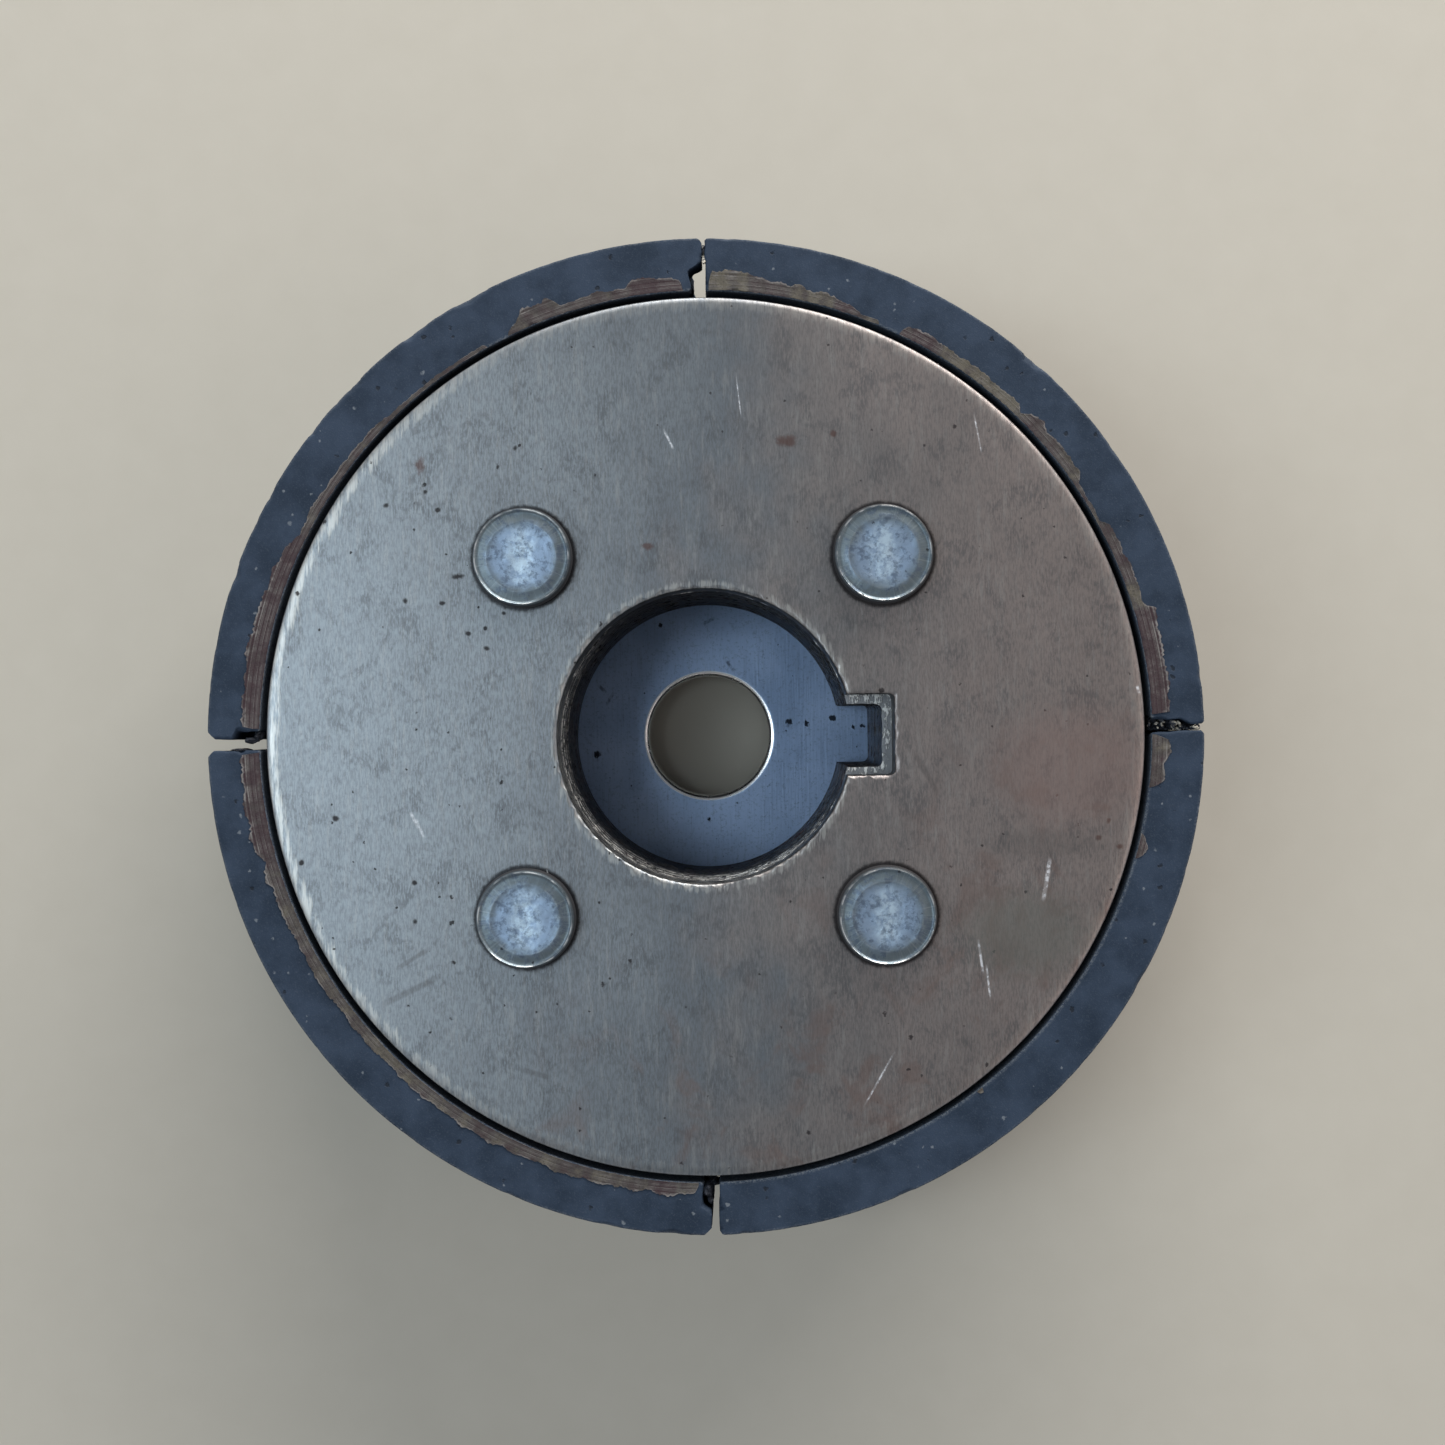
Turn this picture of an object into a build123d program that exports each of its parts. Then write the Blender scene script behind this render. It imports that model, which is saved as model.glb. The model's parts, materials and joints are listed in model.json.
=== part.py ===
from build123d import *
import math
import os

# Magnet flywheel of a small engine: a riveted steel core with four ferrite arc magnets glued round it.
#
# The core is a hub plate at the bottom, a stack of punched laminations and a thick end plate on top.
# The crankshaft enters the keyed bore from above, stops on the hub plate, and a bolt through the hub
# plate holds it. All sizes are in millimetres. +Z runs along the bore and out of its open end, and the
# keyway points along +X. z = 0 is the plane under the lower rivet heads.

# Core
core_diameter = 66.0
hub_plate_thickness = 3.0
lamination_thickness = 1.0
lamination_count = 17
end_plate_thickness = 3.0
edge_roll_width = 0.8  # how far in from the rim the punched edge of the end plate is rolled down
edge_roll_depth = 0.25
mouth_chamfer = 0.2  # broken edge round the mouth of the bore and the keyway

# Crankshaft bore, the keyway of the laminations, and the larger one of the end plate, which clears the key
bore_diameter = 22.2
key_width = 4.8
key_depth = 2.4  # from the bore's wall to the keyway's floor, along the middle of the keyway
key_corner_radius = 0.5
end_key_width = 6.1
end_key_depth = 3.15
end_key_corner_radius = 0.4

# Bolt hole and washer seat in the hub plate
bolt_hole_diameter = 10.2
bolt_hole_chamfer = 0.25
washer_seat_diameter = 24.0
washer_seat_depth = 0.3

# Rivets
rivet_spacing = 27.0  # side of the square that the four rivets stand on
rivet_shank_diameter = 5.0
rivet_hole_clearance = 0.1  # on the diameter
rivet_head_diameter = 7.5
rivet_head_height = 1.5
rivet_head_round = 0.5

# Magnets
magnet_thickness = 4.0
magnet_edge_chamfer = 0.3
magnet_drop = 0.3  # from the core's top face down to the top of the magnets
gap_angles = (0.45, 89.6, 180.5, 270.7)  # degrees from the keyway to the middle of each gap
gap_widths = (0.4, 0.2, 0.8, 0.5)

# Adhesive
bond_thickness = 0.5
bond_drop = 3.2  # from the top of the magnets down to the adhesive behind them
bond_setback = 1.0  # from a magnet's end to the end of the adhesive behind it
gap_fill_drop = 0.7  # from the top of the magnets down to the adhesive between their ends
gap_fill_setback = 0.6  # from the magnets' outer faces in to that adhesive

# Radii and levels that follow
core_radius = core_diameter / 2
bore_radius = bore_diameter / 2
rivet_hole_radius = (rivet_shank_diameter + rivet_hole_clearance) / 2
magnet_inner_radius = core_radius + bond_thickness
magnet_outer_radius = magnet_inner_radius + magnet_thickness

hub_plate_bottom = rivet_head_height
stack_bottom = hub_plate_bottom + hub_plate_thickness
stack_top = stack_bottom + lamination_count * lamination_thickness
core_top = stack_top + end_plate_thickness
magnet_top = core_top - magnet_drop


def at_rivets(shape):
    """One copy of a shape at each of the four rivet axes."""
    return GridLocations(rivet_spacing, rivet_spacing, 2, 2) * shape


def slab(outline, bottom, top):
    """A flat outline made solid between two levels."""
    return Pos(0, 0, bottom) * extrude(outline, top - bottom)


# Hub plate: round, with a chamfered bolt hole, and a spot-faced seat below for the bolt's washer.
def make_hub_plate():
    outline = Circle(core_radius) - Circle(bolt_hole_diameter / 2) - at_rivets(Circle(rivet_hole_radius))
    plate = slab(outline, hub_plate_bottom, stack_bottom)
    seat_floor = hub_plate_bottom + washer_seat_depth
    plate -= slab(Circle(washer_seat_diameter / 2), hub_plate_bottom, seat_floor)
    hole_rims = [
        edge
        for edge in plate.edges().filter_by(GeomType.CIRCLE)
        if abs(edge.radius - bolt_hole_diameter / 2) < 1e-6
    ]
    return chamfer(hole_rims, bolt_hole_chamfer)


# Laminations and end plate: a round blank with the bore, a keyway open to it, and the rivet holes.
def make_keyed_plate(bottom, top, width, depth, corner_radius):
    reach = bore_radius + depth
    keyway = Pos(reach / 2, 0) * Rectangle(reach, width)
    keyway = fillet(keyway.vertices().group_by(Axis.X)[-1], corner_radius)
    outline = Circle(core_radius) - Circle(bore_radius) - keyway - at_rivets(Circle(rivet_hole_radius))
    return slab(outline, bottom, top)


# End plate: its rim is rolled down by the punch, and the mouth of the bore has a broken edge.
def make_end_plate():
    plate = make_keyed_plate(stack_top, core_top, end_key_width, end_key_depth, end_key_corner_radius)
    top_face = plate.faces().sort_by(Axis.Z)[-1]
    mouth = top_face.inner_wires().sort_by(SortBy.LENGTH)[-1]
    plate = chamfer(mouth.edges(), mouth_chamfer)
    top_face = plate.faces().sort_by(Axis.Z)[-1]
    rim = top_face.outer_wire().edges()
    return chamfer(rim, edge_roll_width, edge_roll_depth, reference=top_face)


# Rivets: a shank through the whole core, closed by a low flat-topped head at each end.
def make_rivets():
    shank = slab(Circle(rivet_shank_diameter / 2), hub_plate_bottom, core_top)
    lower_head = slab(Circle(rivet_head_diameter / 2), 0, hub_plate_bottom)
    lower_head = fillet(lower_head.edges().group_by(Axis.Z)[0], rivet_head_round)
    upper_head = slab(Circle(rivet_head_diameter / 2), core_top, core_top + rivet_head_height)
    upper_head = fillet(upper_head.edges().group_by(Axis.Z)[-1], rivet_head_round)
    return Compound(at_rivets(lower_head + shank + upper_head))


def gap_block(number, width, top):
    """A block as wide as asked along one gap, from inside the bond to outside the magnets."""
    overreach = magnet_thickness
    start = core_radius - overreach
    length = magnet_outer_radius + overreach - start
    block = Box(length, width, top - hub_plate_bottom, align=(Align.MIN, Align.CENTER, Align.MIN))
    return Rot(0, 0, gap_angles[number]) * Pos(start, 0, hub_plate_bottom) * block


def in_turn(pieces):
    """Pieces of a ring in order of their angle, starting from the keyway."""
    return sorted(pieces, key=lambda piece: math.atan2(piece.center().Y, piece.center().X) % math.tau)


# Magnets: four pressed ferrite arcs round the core, with a gap between each and the next.
def make_magnets():
    ring = slab(Circle(magnet_outer_radius) - Circle(magnet_inner_radius), hub_plate_bottom, magnet_top)
    ring = chamfer(ring.edges().filter_by(GeomType.CIRCLE), magnet_edge_chamfer)
    for number, width in enumerate(gap_widths):
        ring -= gap_block(number, width, magnet_top)
    return in_turn(ring.solids())


# Bonds: the adhesive between the core and each magnet, which ends a little below the magnets' top.
def make_bonds():
    bond_top = magnet_top - bond_drop
    ring = slab(Circle(magnet_inner_radius) - Circle(core_radius), hub_plate_bottom, bond_top)
    for number, width in enumerate(gap_widths):
        ring -= gap_block(number, width + 2 * bond_setback, bond_top)
    return in_turn(ring.solids())


# Gap fill: adhesive squeezed out between the two magnets beside the keyway.
def make_gap_fill():
    fill_top = magnet_top - gap_fill_drop
    fill_outline = Circle(magnet_outer_radius - gap_fill_setback) - Circle(magnet_inner_radius)
    return slab(fill_outline, hub_plate_bottom, fill_top) & gap_block(0, gap_widths[0], fill_top)


os.makedirs("parts", exist_ok=True)
export_step(make_hub_plate(), "parts/hub_plate.step")
for layer in range(lamination_count):
    bottom = stack_bottom + layer * lamination_thickness
    top = bottom + lamination_thickness
    lamination = make_keyed_plate(bottom, top, key_width, key_depth, key_corner_radius)
    export_step(lamination, f"parts/lamination_{layer + 1:02d}.step")
export_step(make_end_plate(), "parts/end_plate.step")
export_step(make_rivets(), "parts/rivets.step")
for number, magnet in enumerate(make_magnets(), start=1):
    export_step(magnet, f"parts/magnet_{number}.step")
for number, bond in enumerate(make_bonds(), start=1):
    export_step(bond, f"parts/bond_{number}.step")
export_step(make_gap_fill(), "parts/gap_fill.step")
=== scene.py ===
import json
import math
import random

import bmesh
import bpy
import numpy as np
from mathutils import Matrix, Vector, noise


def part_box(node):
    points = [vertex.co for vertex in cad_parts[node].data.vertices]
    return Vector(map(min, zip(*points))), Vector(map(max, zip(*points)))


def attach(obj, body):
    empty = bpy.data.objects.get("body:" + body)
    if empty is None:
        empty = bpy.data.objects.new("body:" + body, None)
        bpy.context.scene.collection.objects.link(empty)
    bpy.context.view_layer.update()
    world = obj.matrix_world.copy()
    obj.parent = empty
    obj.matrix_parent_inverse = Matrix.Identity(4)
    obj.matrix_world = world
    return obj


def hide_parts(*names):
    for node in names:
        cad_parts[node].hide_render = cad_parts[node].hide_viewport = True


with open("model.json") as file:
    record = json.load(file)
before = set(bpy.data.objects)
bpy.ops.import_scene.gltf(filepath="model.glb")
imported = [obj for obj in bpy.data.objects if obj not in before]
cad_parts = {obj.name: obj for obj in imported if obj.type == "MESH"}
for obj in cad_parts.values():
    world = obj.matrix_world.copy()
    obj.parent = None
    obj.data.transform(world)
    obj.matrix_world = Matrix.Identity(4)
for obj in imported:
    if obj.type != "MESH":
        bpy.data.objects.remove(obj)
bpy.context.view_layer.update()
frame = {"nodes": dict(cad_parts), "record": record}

# ---------------------------------------------------------------------------------------------------
# Hub plate. A disc of cold-rolled steel that closes the bottom of the core, with the edges of its
# bolt hole broken and a seat spot-faced for the bolt's washer underneath. It is the smooth blue-grey
# floor seen down the bore, and the rivets hold it.
# ---------------------------------------------------------------------------------------------------
METRES = 0.001  # in a millimetre, the unit of every size in this script


def millimetres(node):
    """Lowest and highest corner of a CAD node."""
    low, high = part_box(node)
    return np.array(low) / METRES, np.array(high) / METRES


def mounted(name):
    """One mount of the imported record."""
    return next(mount for mount in frame["record"]["mounts"] if mount["name"] == name)


def circle(radius, count, centre=(0.0, 0.0)):
    """Points evenly round a circle, as an outline."""
    angle = np.arange(count) * math.tau / count
    return np.c_[centre[0] + radius * np.cos(angle), centre[1] + radius * np.sin(angle)]


def at_level(outline, level):
    """An outline laid at one height, or at a height for each of its points."""
    return np.c_[outline, np.broadcast_to(level, len(outline))]


def mesh_piece(name, points, faces, worn=None):
    """A new object from points in millimetres, with worn edges marked on its points if given."""
    mesh = bpy.data.meshes.new(name)
    mesh.from_pydata((np.asarray(points) * METRES).tolist(), [], faces)
    if worn is not None:
        mark = mesh.attributes.new("worn", "FLOAT", "POINT")
        mark.data.foreach_set("value", np.asarray(worn, np.float32))
    piece = bpy.data.objects.new(name, mesh)
    bpy.context.scene.collection.objects.link(piece)
    return piece


def tidy_faces(piece, sharp_from=35.0):
    """Faces all outwards, shaded smooth but for edges sharper than an angle in degrees."""
    work = bmesh.new()
    work.from_mesh(piece.data)
    bmesh.ops.recalc_face_normals(work, faces=work.faces)
    work.to_mesh(piece.data)
    work.free()
    piece.data.shade_smooth()
    piece.data.set_sharp_from_angle(angle=math.radians(sharp_from))
    return piece


def plate(name, borders, worn=None):
    """A flat plate. Each border is its rings of points from the lower face up to the upper face, and the
    two faces are filled between the borders' first rings and between their last."""
    points, faces = [], []
    caps = ([], [])
    start = 0
    for rings in borders:
        count = len(rings[0])
        for number, ring in enumerate(rings):
            points.extend(ring)
            if number:
                low, high = start - count, start
                for i in range(count):
                    j = (i + 1) % count
                    faces.append((low + i, low + j, high + j, high + i))
            for cap, wanted in zip(caps, (0, len(rings) - 1)):
                if number == wanted:
                    cap.extend((start + i, start + (i + 1) % count) for i in range(count))
            start += count
    piece = mesh_piece(name, points, faces, worn)
    work = bmesh.new()
    work.from_mesh(piece.data)
    work.verts.ensure_lookup_table()
    for cap in caps:
        edges = [work.edges.get((work.verts[a], work.verts[b])) for a, b in cap]
        bmesh.ops.triangle_fill(work, edges=edges, use_beauty=True, normal=(0, 0, 1))
    work.to_mesh(piece.data)
    work.free()
    return tidy_faces(piece)


class Signal:
    """An output of a node. Python's operators on it add the Math nodes that work them out."""

    def __init__(self, nodes, socket):
        self.nodes = nodes
        self.socket = socket

    def other(self, name):
        """Another output of the same node."""
        return Signal(self.nodes, self.socket.node.outputs[name])

    def math(self, operation, *values):
        """A Math node fed by this output and the given values."""
        return self.nodes.add("ShaderNodeMath", {"operation": operation}, (self, *values))

    def __add__(self, value):
        return self.math("ADD", value)

    def __sub__(self, value):
        return self.math("SUBTRACT", value)

    def __mul__(self, value):
        return self.math("MULTIPLY", value)

    def __truediv__(self, value):
        return self.math("DIVIDE", value)

    def __pow__(self, value):
        return self.math("POWER", value)

    def __neg__(self):
        return self.math("MULTIPLY", -1.0)

    def __abs__(self):
        return self.math("ABSOLUTE")

    def __rsub__(self, value):
        return -self + value

    def __rtruediv__(self, value):
        return self.math("POWER", -1.0) * value

    __radd__ = __add__
    __rmul__ = __mul__

    def at_most(self, value):
        return self.math("MINIMUM", value)

    def at_least(self, value):
        return self.math("MAXIMUM", value)

    def between(self, low, high):
        """0 up to low, 1 from high on, and smooth in between. With low above high it falls instead."""
        return self.nodes.add(
            "ShaderNodeMapRange",
            {"interpolation_type": "SMOOTHSTEP"},
            {"Value": self, "From Min": low, "From Max": high},
        )


class Nodes:
    """One node tree, and the one way in which nodes are added to it."""

    def __init__(self, tree):
        self.tree = tree

    def add(self, kind, settings=None, inputs=()):
        """Adds a node: its settings first, then its inputs by name or in order. Gives its first output."""
        node = self.tree.nodes.new(kind)
        for name, value in (settings or {}).items():
            if name == "stops":
                self.set_stops(node.color_ramp, value)
            else:
                setattr(node, name, value)
        live = [socket for socket in node.inputs if socket.enabled]
        named = {socket.name: socket for socket in reversed(live)}
        pairs = inputs.items() if isinstance(inputs, dict) else enumerate(inputs)
        for key, value in pairs:
            self.feed(named[key] if isinstance(key, str) else live[key], value)
        shown = [socket for socket in node.outputs if socket.enabled]
        return Signal(self, shown[0]) if shown else node

    def feed(self, socket, value):
        """Links a signal to a socket, or sets a plain value on it."""
        if isinstance(value, Signal):
            self.tree.links.new(value.socket, socket)
        elif socket.type == "RGBA":
            socket.default_value = (*value, 1.0)
        else:
            socket.default_value = value

    def set_stops(self, ramp, stops):
        """Gives a colour ramp its stops: pairs of a place and a colour or a grey."""
        for number, (place, colour) in enumerate(stops):
            spot = ramp.elements[number] if number < 2 else ramp.elements.new(place)
            spot.position = place
            spot.color = (*colour, 1.0) if isinstance(colour, tuple) else (colour, colour, colour, 1.0)

    def noise(self, place, grain, detail=3.0, roughness=0.5, stretch=(1, 1, 1), distort=0.0):
        """Soft noise with lumps about as large as grain, in millimetres, stretched along the axes."""
        placed = self.add("ShaderNodeMapping", {}, {"Vector": place, "Scale": [1 / s for s in stretch]})
        return self.add(
            "ShaderNodeTexNoise",
            {},
            {
                "Vector": placed,
                "Scale": 1 / grain,
                "Detail": detail,
                "Roughness": roughness,
                "Distortion": distort,
            },
        )

    def spots(self, place, spacing, size, share):
        """Scattered ragged spots: their spacing and size, and the share of places that have one."""
        wobble = self.add("ShaderNodeTexNoise", {}, {"Vector": place, "Scale": 0.8 / size}).other("Color")
        reach = (1.8 * size,) * 3
        moved = self.add("ShaderNodeVectorMath", {"operation": "MULTIPLY_ADD"}, (wobble, reach, place))
        cells = self.add("ShaderNodeTexVoronoi", {}, {"Vector": moved, "Scale": 1 / spacing})
        chosen = self.add("ShaderNodeSeparateColor", {}, (cells.other("Color"),)).between(share, share - 0.02)
        return cells.between(size / spacing, 0.5 * size / spacing) * chosen

    def mix(self, share, first, second):
        """Two colours mixed by a share from 0 to 1."""
        return self.add("ShaderNodeMix", {"data_type": "RGBA"}, {"Factor": share, "A": first, "B": second})

    def axes(self, place):
        """The three parts of a place."""
        parts = self.add("ShaderNodeSeparateXYZ", {}, (place,))
        return parts, parts.other("Y"), parts.other("Z")

    def from_axis(self, place):
        """How far a place is from the bore's axis."""
        x, y = self.axes(place)[:2]
        return (x * x + y * y) ** 0.5

    def mark(self, name):
        """A value stored on the points of a mesh."""
        return self.add("ShaderNodeAttribute", {"attribute_name": name}).other("Fac")

    def bumps(self, height, depth):
        """The surface's normal, raised by a height from 0 to 1 that stands for a depth."""
        return self.add("ShaderNodeBump", {}, {"Height": height, "Distance": depth * METRES})


def finish(name, look):
    """A material. look(nodes, place) gives its shader's inputs from the place in millimetres."""
    material = bpy.data.materials.new(name)
    material.use_nodes = True
    material.node_tree.nodes.clear()
    nodes = Nodes(material.node_tree)
    object_place = nodes.add("ShaderNodeTexCoord").other("Object")
    scale_up = {"Vector": object_place, "Scale": 1 / METRES}
    place = nodes.add("ShaderNodeVectorMath", {"operation": "SCALE"}, scale_up)
    shader = nodes.add("ShaderNodeBsdfPrincipled", {}, look(nodes, place))
    nodes.add("ShaderNodeOutputMaterial", {}, {"Surface": shader})
    return material


def fit_out(piece, material, slot, *cad_nodes):
    """Gives a piece its material, stands it in for its CAD nodes and sets it on the body. The slot is not
    used.
    """
    piece.data.materials.clear()
    piece.data.materials.append(material)
    if cad_nodes:
        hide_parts(*cad_nodes)
    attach(piece, "root")
    return piece


def stroke(nodes, place, start, end, width):
    """A straight mark between two points of a flat face, thin at its ends."""
    (x0, y0), (x1, y1) = start, end
    length = math.dist(start, end)
    x, y = nodes.axes(place)[:2]
    ux, uy = (x1 - x0) / length, (y1 - y0) / length
    along = (x - x0) * ux + (y - y0) * uy
    across = abs((x - x0) * uy - (y - y0) * ux)
    taper = along.between(0, 0.25 * length) * along.between(length, 0.75 * length)
    return across.between(width, 0.3 * width) * taper


def hub_steel(nodes, place):
    """Smooth blue-grey steel with fine grain along Y, a bright cut edge, scratches, and blots of oil by the
    keyway."""
    x, y, z = nodes.axes(place)
    radius = nodes.from_axis(place)
    grain = nodes.noise(place, 0.28, 3, 0.6, (0.6, 14, 1))
    mottle = nodes.noise(place, 5, 3, 0.55)
    colour = nodes.mix(mottle.between(0.3, 0.7), (0.29, 0.40, 0.60), (0.37, 0.49, 0.71))
    speckle = nodes.noise(place, 0.22, 3, 0.7)
    dull = grain.between(0.5, 0.75) * 0.25 + speckle.between(0.5, 0.7) * 0.45
    colour = nodes.mix(dull, colour, (0.15, 0.19, 0.27))
    below = z.between(hub_low[2] + 1.6, hub_low[2] + 1.0)
    colour = nodes.mix(below, colour, (0.34, 0.335, 0.33))
    cut = radius.between(hole_radius + hole_chamfer + 0.20, hole_radius + hole_chamfer + 0.10)
    colour = nodes.mix(cut, colour, (0.95, 0.96, 0.97))
    specks = nodes.spots(place, 1.3, 0.22, 0.12).at_least(nodes.spots(place, 0.6, 0.09, 0.08))
    specks = specks * radius.between(hole_radius + 0.5, hole_radius + 1.2)
    ragged = nodes.noise(place, 0.45, 3, 0.7, (1, 2.2, 1)) * 1.3 - 0.65
    for spot_x, spot_y, size in oil_blots:
        reach = ((x - spot_x) ** 2 + (y - spot_y) ** 2) ** 0.5 + ragged
        specks = specks.at_least(reach.between(size, 0.5 * size))
    for start, end in hub_scratches:
        scratch = stroke(nodes, place, start, end, 0.2)
        specks = specks.at_least(scratch * (ragged + 0.4).between(0.2, 0.6) * 0.7)
    specks = specks * (1 - below)
    colour = nodes.mix(specks * 0.9, colour, (0.012, 0.012, 0.016))
    return {
        "Base Color": colour,
        "Metallic": 1.0,
        "Roughness": 0.38 - cut * 0.14 + specks * 0.3 + mottle * 0.06,
        "Normal": nodes.bumps(grain + specks, 0.008),
    }


hub_low, hub_high = millimetres("hub_plate")
core_radius = hub_high[0]
hole_radius = mounted("bolt_hole")["dims"]["r_mm"]
hole_chamfer = 0.25
seat_radius = 12.0
seat_level = mounted("washer_seat")["pos_m"][2] / METRES
rivet_low, rivet_high = millimetres("rivets")
rivet_head_radius = 3.75
rivet_reach = rivet_high[0] - rivet_head_radius  # along X and Y from the bore's axis to a rivet's
rivet_hole_radius = 2.55
rivet_places = [(sx * rivet_reach, sy * rivet_reach) for sx in (1, -1) for sy in (1, -1)]
oil_blots = (  # X, Y and size
    (6.8, 1.1, 0.30),
    (8.3, 1.0, 0.2),
    (10.5, 1.4, 0.24),
    (12.3, 0.6, 0.26),
    (13.0, 0.7, 0.2),
    (-9.5, -1.5, 0.3),
)
hub_scratches = (
    ((-9.6, 4.6), (-8.2, 3.2)),
    ((-8.8, 2.6), (-8.0, 3.9)),
    ((-9.9, -2.2), (-9.2, -1.2)),
    ((-0.6, 9.4), (0.7, 10.1)),
    ((1.5, 6.4), (2.2, 5.4)),
    ((6.6, 0.5), (7.0, 1.5)),
)


def rivet_holes(low, high):
    """The borders of the four rivet holes in a plate between two levels."""
    outlines = [circle(rivet_hole_radius, 40, centre) for centre in rivet_places]
    return [[at_level(outline, low), at_level(outline, high)] for outline in outlines]


def lathe_rings(profile, count):
    """Rings of points round Z from a profile of radii and levels."""
    return [at_level(circle(radius, count), level) for radius, level in profile]


hub_rim = [
    (core_radius - 0.35, hub_low[2]),
    (core_radius - 0.15, hub_low[2]),
    (core_radius - 0.03, hub_low[2] + 0.06),
    (core_radius, hub_low[2] + 0.2),
    (core_radius, hub_high[2]),
]
hub_mouth = [
    (seat_radius + 0.12, hub_low[2]),
    (seat_radius, hub_low[2] + 0.06),
    (seat_radius - 0.03, seat_level),
    (hole_radius + hole_chamfer, seat_level),
    (hole_radius, seat_level + hole_chamfer),
    (hole_radius, hub_high[2] - hole_chamfer),
    (hole_radius + 0.08, hub_high[2] - 0.13),
    (hole_radius + 0.18, hub_high[2] - 0.06),
    (hole_radius + 0.30, hub_high[2] - 0.02),
    (hole_radius + 0.42, hub_high[2]),
    (hole_radius + 0.55, hub_high[2]),
]
hub_borders = [lathe_rings(hub_rim, 360), lathe_rings(hub_mouth, 160)]
hub_plate = plate("floor_plate", hub_borders + rivet_holes(hub_low[2], hub_high[2]))
fit_out(hub_plate, finish("rolled_hub_steel", hub_steel), "plate_steel", "hub_plate")

# ---------------------------------------------------------------------------------------------------
# Laminations. Seventeen sheets punched from 1 mm steel, stacked on the hub plate, each a hair out of
# line with the next. Punching rolls the lower edge over and leaves a ragged burr on the upper one,
# and both show as uneven lines down the bore. Their keyway is smaller than the end plate's above.
# ---------------------------------------------------------------------------------------------------
bore_radius = mounted("crank_bore")["dims"]["r_mm"]
lamination_names = sorted(name for name in frame["nodes"] if name.startswith("lamination"))
sheet_low, sheet_high = millimetres(lamination_names[0])
sheet_thickness = sheet_high[2] - sheet_low[2]
stack_top = millimetres(lamination_names[-1])[1][2]
key_half_width = 2.4
key_reach = 13.5  # from the bore's axis to the keyway's floor
key_corner = 0.5


def keyed_outline(spacing, half_width, reach, corner):
    """The bore and its keyway as one outline with points about as far apart as asked, and at each point
    the direction into the steel."""
    mouth_angle = math.asin(half_width / bore_radius)
    straight = reach - corner
    turns = np.linspace(0, math.pi / 2, 5)
    arc_count = round(bore_radius * (math.tau - 2 * mouth_angle) / spacing)
    arc = np.linspace(mouth_angle, math.tau - mouth_angle, arc_count)
    side_count = round((straight - bore_radius) / spacing) + 2
    side = np.linspace(bore_radius * math.cos(mouth_angle), straight, side_count)[1:-1]
    floor_half = half_width - corner
    floor = np.linspace(-floor_half, floor_half, round(2 * floor_half / spacing) + 2)[1:-1]
    lower = np.c_[straight + corner * np.sin(turns), -floor_half - corner * np.cos(turns)]
    upper = np.c_[straight + corner * np.cos(turns), floor_half + corner * np.sin(turns)]
    outline = np.vstack(
        [
            bore_radius * np.c_[np.cos(arc), np.sin(arc)],
            np.c_[side, np.full(len(side), -half_width)],
            lower,
            np.c_[np.full(len(floor), reach), floor],
            upper,
            np.c_[side[::-1], np.full(len(side), half_width)],
        ]
    )
    along = np.roll(outline, -1, 0) - np.roll(outline, 1, 0)
    inward = np.c_[along[:, 1], -along[:, 0]] / np.linalg.norm(along, axis=1)[:, None]
    corner_ease = 0.6  # how far along the outline the turn at a corner is spread
    spread = round(corner_ease / spacing)
    eased = sum(np.roll(inward, shift, 0) for shift in range(-spread, spread + 1))
    return outline, eased / np.linalg.norm(eased, axis=1)[:, None]


def unevenness(*axes):
    """Smooth noise from about -1 to 1 at points given by three arrays or numbers."""
    return np.array([noise.noise(Vector(point)) for point in np.broadcast(*axes)])


def waver(outline, size, seed):
    """Smooth noise along an outline, with lumps of a size."""
    px, py = outline.T
    return unevenness(px / size, py / size, seed * 7.3) * 1.8


def painted_lit_side(x, y, radius, low, high):
    """From 0 to 1 towards the lower left of the bore, the side where its wall is painted as lit."""
    return ((x * -0.64 + y * -0.77) / radius).between(low, high)


def lamination_sheet():
    """One sheet with its lower face at level 0, and its burr marked as worn for the material."""
    bore, into_steel = keyed_outline(0.24, key_half_width, key_reach, key_corner)
    rim = circle(core_radius - 0.02, 240)
    rough = np.clip(waver(bore, 0.9, 3) + 0.3, 0, 1)[:, None]
    roll = [(0.45, 0.0), (0.2, 0.0), (0.07, 0.04), (0.0, 0.16), (0.0, 0.72)]
    rings = [at_level(bore + into_steel * inset, level) for inset, level in roll]
    torn = bore + into_steel * 0.02 * rough
    rings.append(at_level(torn, 0.88))
    rings.append(at_level(bore + into_steel * 0.05 * rough, sheet_thickness - 0.02))
    rings.append(at_level(bore + into_steel * 0.14, sheet_thickness))
    rings.append(at_level(bore + into_steel * 0.3, sheet_thickness))
    rim_rings = [at_level(rim, 0.0), at_level(rim, sheet_thickness)]
    borders = [rings, rim_rings] + rivet_holes(0.0, sheet_thickness)
    burr = np.r_[np.zeros(len(roll)), 0.8, 1.0, 0.5, 0.0].repeat(len(bore))
    others = sum(len(ring) for border in borders[1:] for ring in border)
    return plate("punched_sheet", borders, np.r_[burr, np.zeros(others)])


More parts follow.
